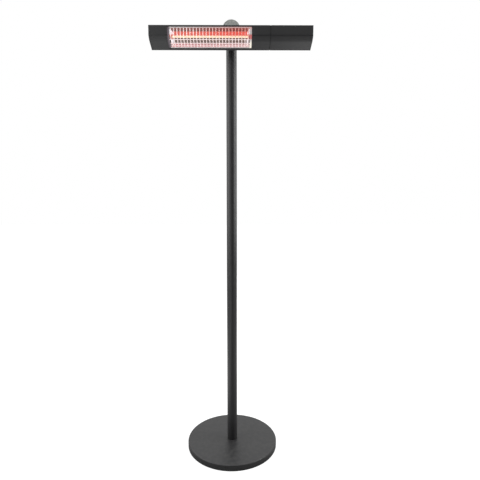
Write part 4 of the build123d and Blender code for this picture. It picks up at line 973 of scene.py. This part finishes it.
def make_knob():
    """The lobed clamp knob on its hub, with soft edges and a dished end."""
    low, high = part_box("clamp_knob")
    pivot_low, pivot_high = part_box("hinge_bolt")
    pivot = (pivot_low + pivot_high) / 2
    length = high.x - low.x

    def lobed(inset):
        def radius(angle):
            lobe = tau / KNOB_LOBES
            from_lobe = abs((angle + lobe / 2) % lobe - lobe / 2)
            across = KNOB_CORE_RADIUS * sin(from_lobe)
            if across >= KNOB_LOBE_RADIUS:
                return KNOB_CORE_RADIUS - inset
            reach = (KNOB_LOBE_RADIUS**2 - across**2) ** 0.5
            return max(KNOB_CORE_RADIUS * cos(from_lobe) + reach, KNOB_CORE_RADIUS) - inset

        return radius

    rings = [
        (KNOB_BORE_RADIUS, KNOB_BORE_DEPTH),
        (KNOB_BORE_RADIUS, 0),
        (KNOB_HUB_RADIUS, 0),
        (KNOB_HUB_RADIUS, KNOB_HUB_LENGTH),
        (lobed(KNOB_ROUNDING), KNOB_HUB_LENGTH),
        (lobed(0), KNOB_HUB_LENGTH + KNOB_BACK_CHAMFER),
    ]
    for step in range(KNOB_ROUNDING_STEPS + 1):
        angle = step / KNOB_ROUNDING_STEPS * pi / 2
        inset = KNOB_ROUNDING * (1 - cos(angle))
        rings.append((lobed(inset), length - KNOB_ROUNDING * (1 - sin(angle))))
    rings += [(KNOB_HUB_RADIUS * share, length - depth) for share, depth in KNOB_DISH]
    sheet = bmesh.new()
    turned(sheet, (low.x, pivot.y, pivot.z), (1, 0, 0), rings)
    finished_piece("lobed_clamp_knob", sheet, "black_plastic", "clamp_knob", "clamp_knob")


def make_rocker_marks():
    """A raised bar on the upper half of the rocker and a ring on the lower half."""
    faces = [face for face in frame["nodes"]["rocker"].data.polygons if face.normal.x > POINTS_OUT]
    middle_z = sum((corner.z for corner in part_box("rocker")), 0) / 2
    sheet = bmesh.new()
    for upper in (True, False):
        half = [face for face in faces if (face.center.z > middle_z) == upper]
        way = max(half, key=lambda face: face.area).normal.copy()
        flat = [face for face in half if face.normal.dot(way) > POINTS_ALIKE]
        area = sum(face.area for face in flat)
        origin = sum((face.center * face.area for face in flat), Vector()) / area
        if upper:
            shape = bar(MARK_SIZE, MARK_LINE_WIDTH)
            turned(sheet, origin, way, [(shape, -MARK_HEIGHT), (shape, MARK_HEIGHT)])
        else:
            outer = MARK_SIZE / 2
            inner = outer - MARK_LINE_WIDTH
            rings = [
                (inner, -MARK_HEIGHT),
                (outer, -MARK_HEIGHT),
                (outer, MARK_HEIGHT),
                (inner, MARK_HEIGHT),
            ]
            turned(sheet, origin, way, rings, closed=True)
    finished_piece("rocker_marks", sheet, "ceramic", "rocker")


def sweep(sheet, points, radius, sides):
    """Adds a round wire along points to a bmesh, closed at both ends."""
    rings = []
    side_way = None
    for index, point in enumerate(points):
        along = (points[min(index + 1, len(points) - 1)] - points[max(index - 1, 0)]).normalized()
        if side_way is None:
            side_way = along.orthogonal().normalized()
        side_way = (side_way - along * side_way.dot(along)).normalized()
        up_way = along.cross(side_way)
        ring = []
        for side in range(sides):
            angle = tau * side / sides
            offset = side_way * cos(angle) + up_way * sin(angle)
            ring.append(sheet.verts.new(point + offset * radius))
        rings.append(ring)
    for before, after in zip(rings, rings[1:]):
        for side in range(sides):
            following = (side + 1) % sides
            sheet.faces.new((before[side], before[following], after[following], after[side]))
    sheet.faces.new(reversed(rings[0]))
    sheet.faces.new(rings[-1])


def coil_points(start_x, end_x):
    """A helix about the lamp's axis with a straight tail at each end."""
    turns = (end_x - start_x) / COIL_PITCH
    steps = int(turns * COIL_STEPS_PER_TURN)
    points = [Vector((start_x - TAIL_LENGTH, LAMP_AXIS_Y, LAMP_AXIS_Z))]
    for step in range(steps + 1):
        angle = tau * step / COIL_STEPS_PER_TURN
        x = start_x + (end_x - start_x) * step / steps
        y = LAMP_AXIS_Y + COIL_RADIUS * cos(angle)
        z = LAMP_AXIS_Z + COIL_RADIUS * sin(angle)
        points.append(Vector((x, y, z)))
    points.append(Vector((end_x + TAIL_LENGTH, LAMP_AXIS_Y, LAMP_AXIS_Z)))
    return points


def make_coil():
    """The wound coil that glows, and the rings that hold it off the quartz."""
    start_x = LAMP_LOW.x + TAIL_LENGTH + TAIL_GAP
    end_x = LAMP_HIGH.x - TAIL_LENGTH - TAIL_GAP
    sheet = bmesh.new()
    sweep(sheet, coil_points(start_x, end_x), COIL_WIRE_RADIUS, COIL_WIRE_SIDES)
    finished_piece("filament_coil", sheet, "filament", "head", "filament")
    rings = []
    for step in range(SUPPORT_WIRE_SIDES):
        angle = tau * step / SUPPORT_WIRE_SIDES
        reach = SUPPORT_RADIUS + SUPPORT_WIRE_RADIUS * cos(angle)
        rings.append((reach, SUPPORT_WIRE_RADIUS * sin(angle)))
    sheet = bmesh.new()
    for index in range(SUPPORT_COUNT):
        x = start_x + (end_x - start_x) * (index + 0.5) / SUPPORT_COUNT
        turned(sheet, (x, LAMP_AXIS_Y, LAMP_AXIS_Z), (1, 0, 0), rings, closed=True)
    finished_piece("filament_supports", sheet, "steel", "head")


make_coil()
make_end_cap_screws()
make_base_plate_screws()
make_bracket_screws()
make_saddle_bolts()
make_saddle_nuts()
make_hex_bolt(
    "hex_hinge_bolt",
    "hinge_bolt",
    way=(-1, 0, 0),
    flats=HINGE_BOLT_FLATS,
    head=HINGE_BOLT_HEAD,
    radius=HINGE_BOLT_SHANK,
    threaded=HINGE_BOLT_THREAD,
)
make_hex_bolt(
    "hex_pole_bolt",
    "pole_bolt",
    way=(0, 0, -1),
    flats=POLE_BOLT_FLATS,
    head=POLE_BOLT_HEAD,
    radius=POLE_BOLT_SHANK,
    threaded=POLE_BOLT_THREAD,
)
make_feet()
make_gland()
make_knob()
make_rocker_marks()

# ---- Camera, light and floor -----------------------------------------------------------------


def set_camera():
    data = bpy.data.cameras.new("camera")
    data.sensor_width = SENSOR_WIDTH_MM
    data.lens = FOCAL_LENGTH_PIXELS / IMAGE_SIDE_PIXELS * SENSOR_WIDTH_MM
    camera = bpy.data.objects.new("camera", data)
    camera.location = CAMERA_PLACE
    camera.rotation_euler = (radians(90 - CAMERA_PITCH_DOWN), 0, -radians(CAMERA_TURN_RIGHT))
    bpy.context.scene.collection.objects.link(camera)
    bpy.context.scene.camera = camera


def seen_rays(start):
    """1 for rays straight from the camera, and 1 for rays that are mirrored or go through glass."""
    kinds = ("Is Camera Ray", "Is Glossy Ray", "Is Transmission Ray")
    camera, mirrored, through = (start.node("ShaderNodeLightPath", output=kind) for kind in kinds)
    return camera, mirrored + through


AMBIENT_LEVEL = 0.35
FLOOR_WHITE = 0.85
FLOOR_MIRRORED = 0.05
FLOOR_LIGHT_Z = 0.004


def set_world():
    world = bpy.data.worlds.new("studio")
    world.use_nodes = True
    world.node_tree.nodes.clear()
    start = Socket(world.node_tree)
    camera, mirrored = seen_rays(start)
    white = start.node("ShaderNodeBackground", {}, {"Color": grey(1), "Strength": 1.0})
    ambient = start.node("ShaderNodeBackground", {}, {"Color": grey(1), "Strength": AMBIENT_LEVEL})
    shown = start.node("ShaderNodeMixShader", {}, {0: camera + mirrored, 1: ambient, 2: white})
    start.node("ShaderNodeOutputWorld", {}, {"Surface": shown})
    bpy.context.scene.world = world


def studio_floor(start):
    """A pale floor that shows white, apart from the shadow on it."""
    place = object_place(start)
    clouds = noise(place, 1.5, 2)
    camera, mirrored = seen_rays(start)
    paint = principled(start, Base_Color=mix(clouds, grey(0.40), grey(0.44)), Roughness=0.9)
    strength = camera * FLOOR_WHITE + mirrored * FLOOR_MIRRORED
    lift = start.node("ShaderNodeEmission", {}, {"Color": grey(1), "Strength": strength})
    return start.node("ShaderNodeAddShader", {}, {0: paint, 1: lift})


def flat_sheet(name, corners, material):
    """A flat stage sheet between four corners."""
    mesh = bpy.data.meshes.new(name)
    mesh.from_pydata(corners, [], [(0, 1, 2, 3)])
    sheet = bpy.data.objects.new(name, mesh)
    bpy.context.scene.collection.objects.link(sheet)
    dress(sheet, material)
    return sheet


FLOOR_REACH = 15.0


def set_floor():
    reach = FLOOR_REACH
    corners = [(-reach, -reach, 0), (reach, -reach, 0), (reach, reach, 0), (-reach, reach, 0)]
    flat_sheet("floor", corners, finish("floor", studio_floor))


def dark_cloth(start):
    place = object_place(start)
    return principled(start, Base_Color=mix(noise(place, 30), grey(0.012), grey(0.02)), Roughness=0.95)


CARD_Y = -3.3
CARD_LEFT_X = -0.62
CARD_RIGHT_X = 2.4
CARD_TOP_Z = 3.3


def set_card():
    """A dark studio card behind the camera, which darkens what the coat mirrors."""
    corners = [
        (CARD_LEFT_X, CARD_Y, 0),
        (CARD_RIGHT_X, CARD_Y, 0),
        (CARD_RIGHT_X, CARD_Y, CARD_TOP_Z),
        (CARD_LEFT_X, CARD_Y, CARD_TOP_Z),
    ]
    card = flat_sheet("dark_card", corners, finish("dark_cloth", dark_cloth))
    card.visible_camera = False
    card.visible_shadow = False


def softbox(name, place, target, width, height, level):
    """A soft lamp whose face has the given level, where 1 is white."""
    data = bpy.data.lights.new(name, "AREA")
    data.shape = "RECTANGLE"
    data.size = width
    data.size_y = height
    data.energy = level * pi * width * height
    lamp = bpy.data.objects.new(name, data)
    lamp.location = place
    lamp.rotation_euler = (Vector(target) - Vector(place)).to_track_quat("-Z", "Y").to_euler()
    lamp.visible_camera = False
    bpy.context.scene.collection.objects.link(lamp)


def floor_light(name, low, high, level):
    """A soft lamp that lies on the floor between two corners and faces up."""
    (low_x, low_y), (high_x, high_y) = low, high
    middle_x, middle_y = (low_x + high_x) / 2, (low_y + high_y) / 2
    place, target = (middle_x, middle_y, FLOOR_LIGHT_Z), (middle_x, middle_y, 1)
    softbox(name, place, target, high_x - low_x, high_y - low_y, level)


set_camera()
set_world()
set_floor()
set_card()
softbox("left_softbox", (-1.56, -0.36, 1.75), target=(0, 0, 1.5), width=1.5, height=2.0, level=2.0)
softbox("right_softbox", (1.70, -0.25, 1.85), target=(0, 0, 1.6), width=0.9, height=2.0, level=4.5)
softbox("top_softbox", (0.0, 0.3, 3.4), target=(0, 0, 0), width=1.6, height=1.6, level=2.0)
floor_light("left_floor_light", low=(-1.50, -3.10), high=(-0.42, 1.60), level=0.95)
floor_light("left_far_floor_light", low=(-4.50, -14.50), high=(-0.62, -3.15), level=0.95)
floor_light("right_floor_light", low=(0.66, 0.30), high=(1.40, 1.60), level=1.80)
floor_light("right_back_floor_light", low=(0.36, 2.00), high=(1.80, 4.60), level=2.40)
floor_light("right_front_floor_light", low=(0.60, -3.10), high=(1.40, 0.30), level=0.35)

bpy.context.scene.view_settings.view_transform = "Standard"
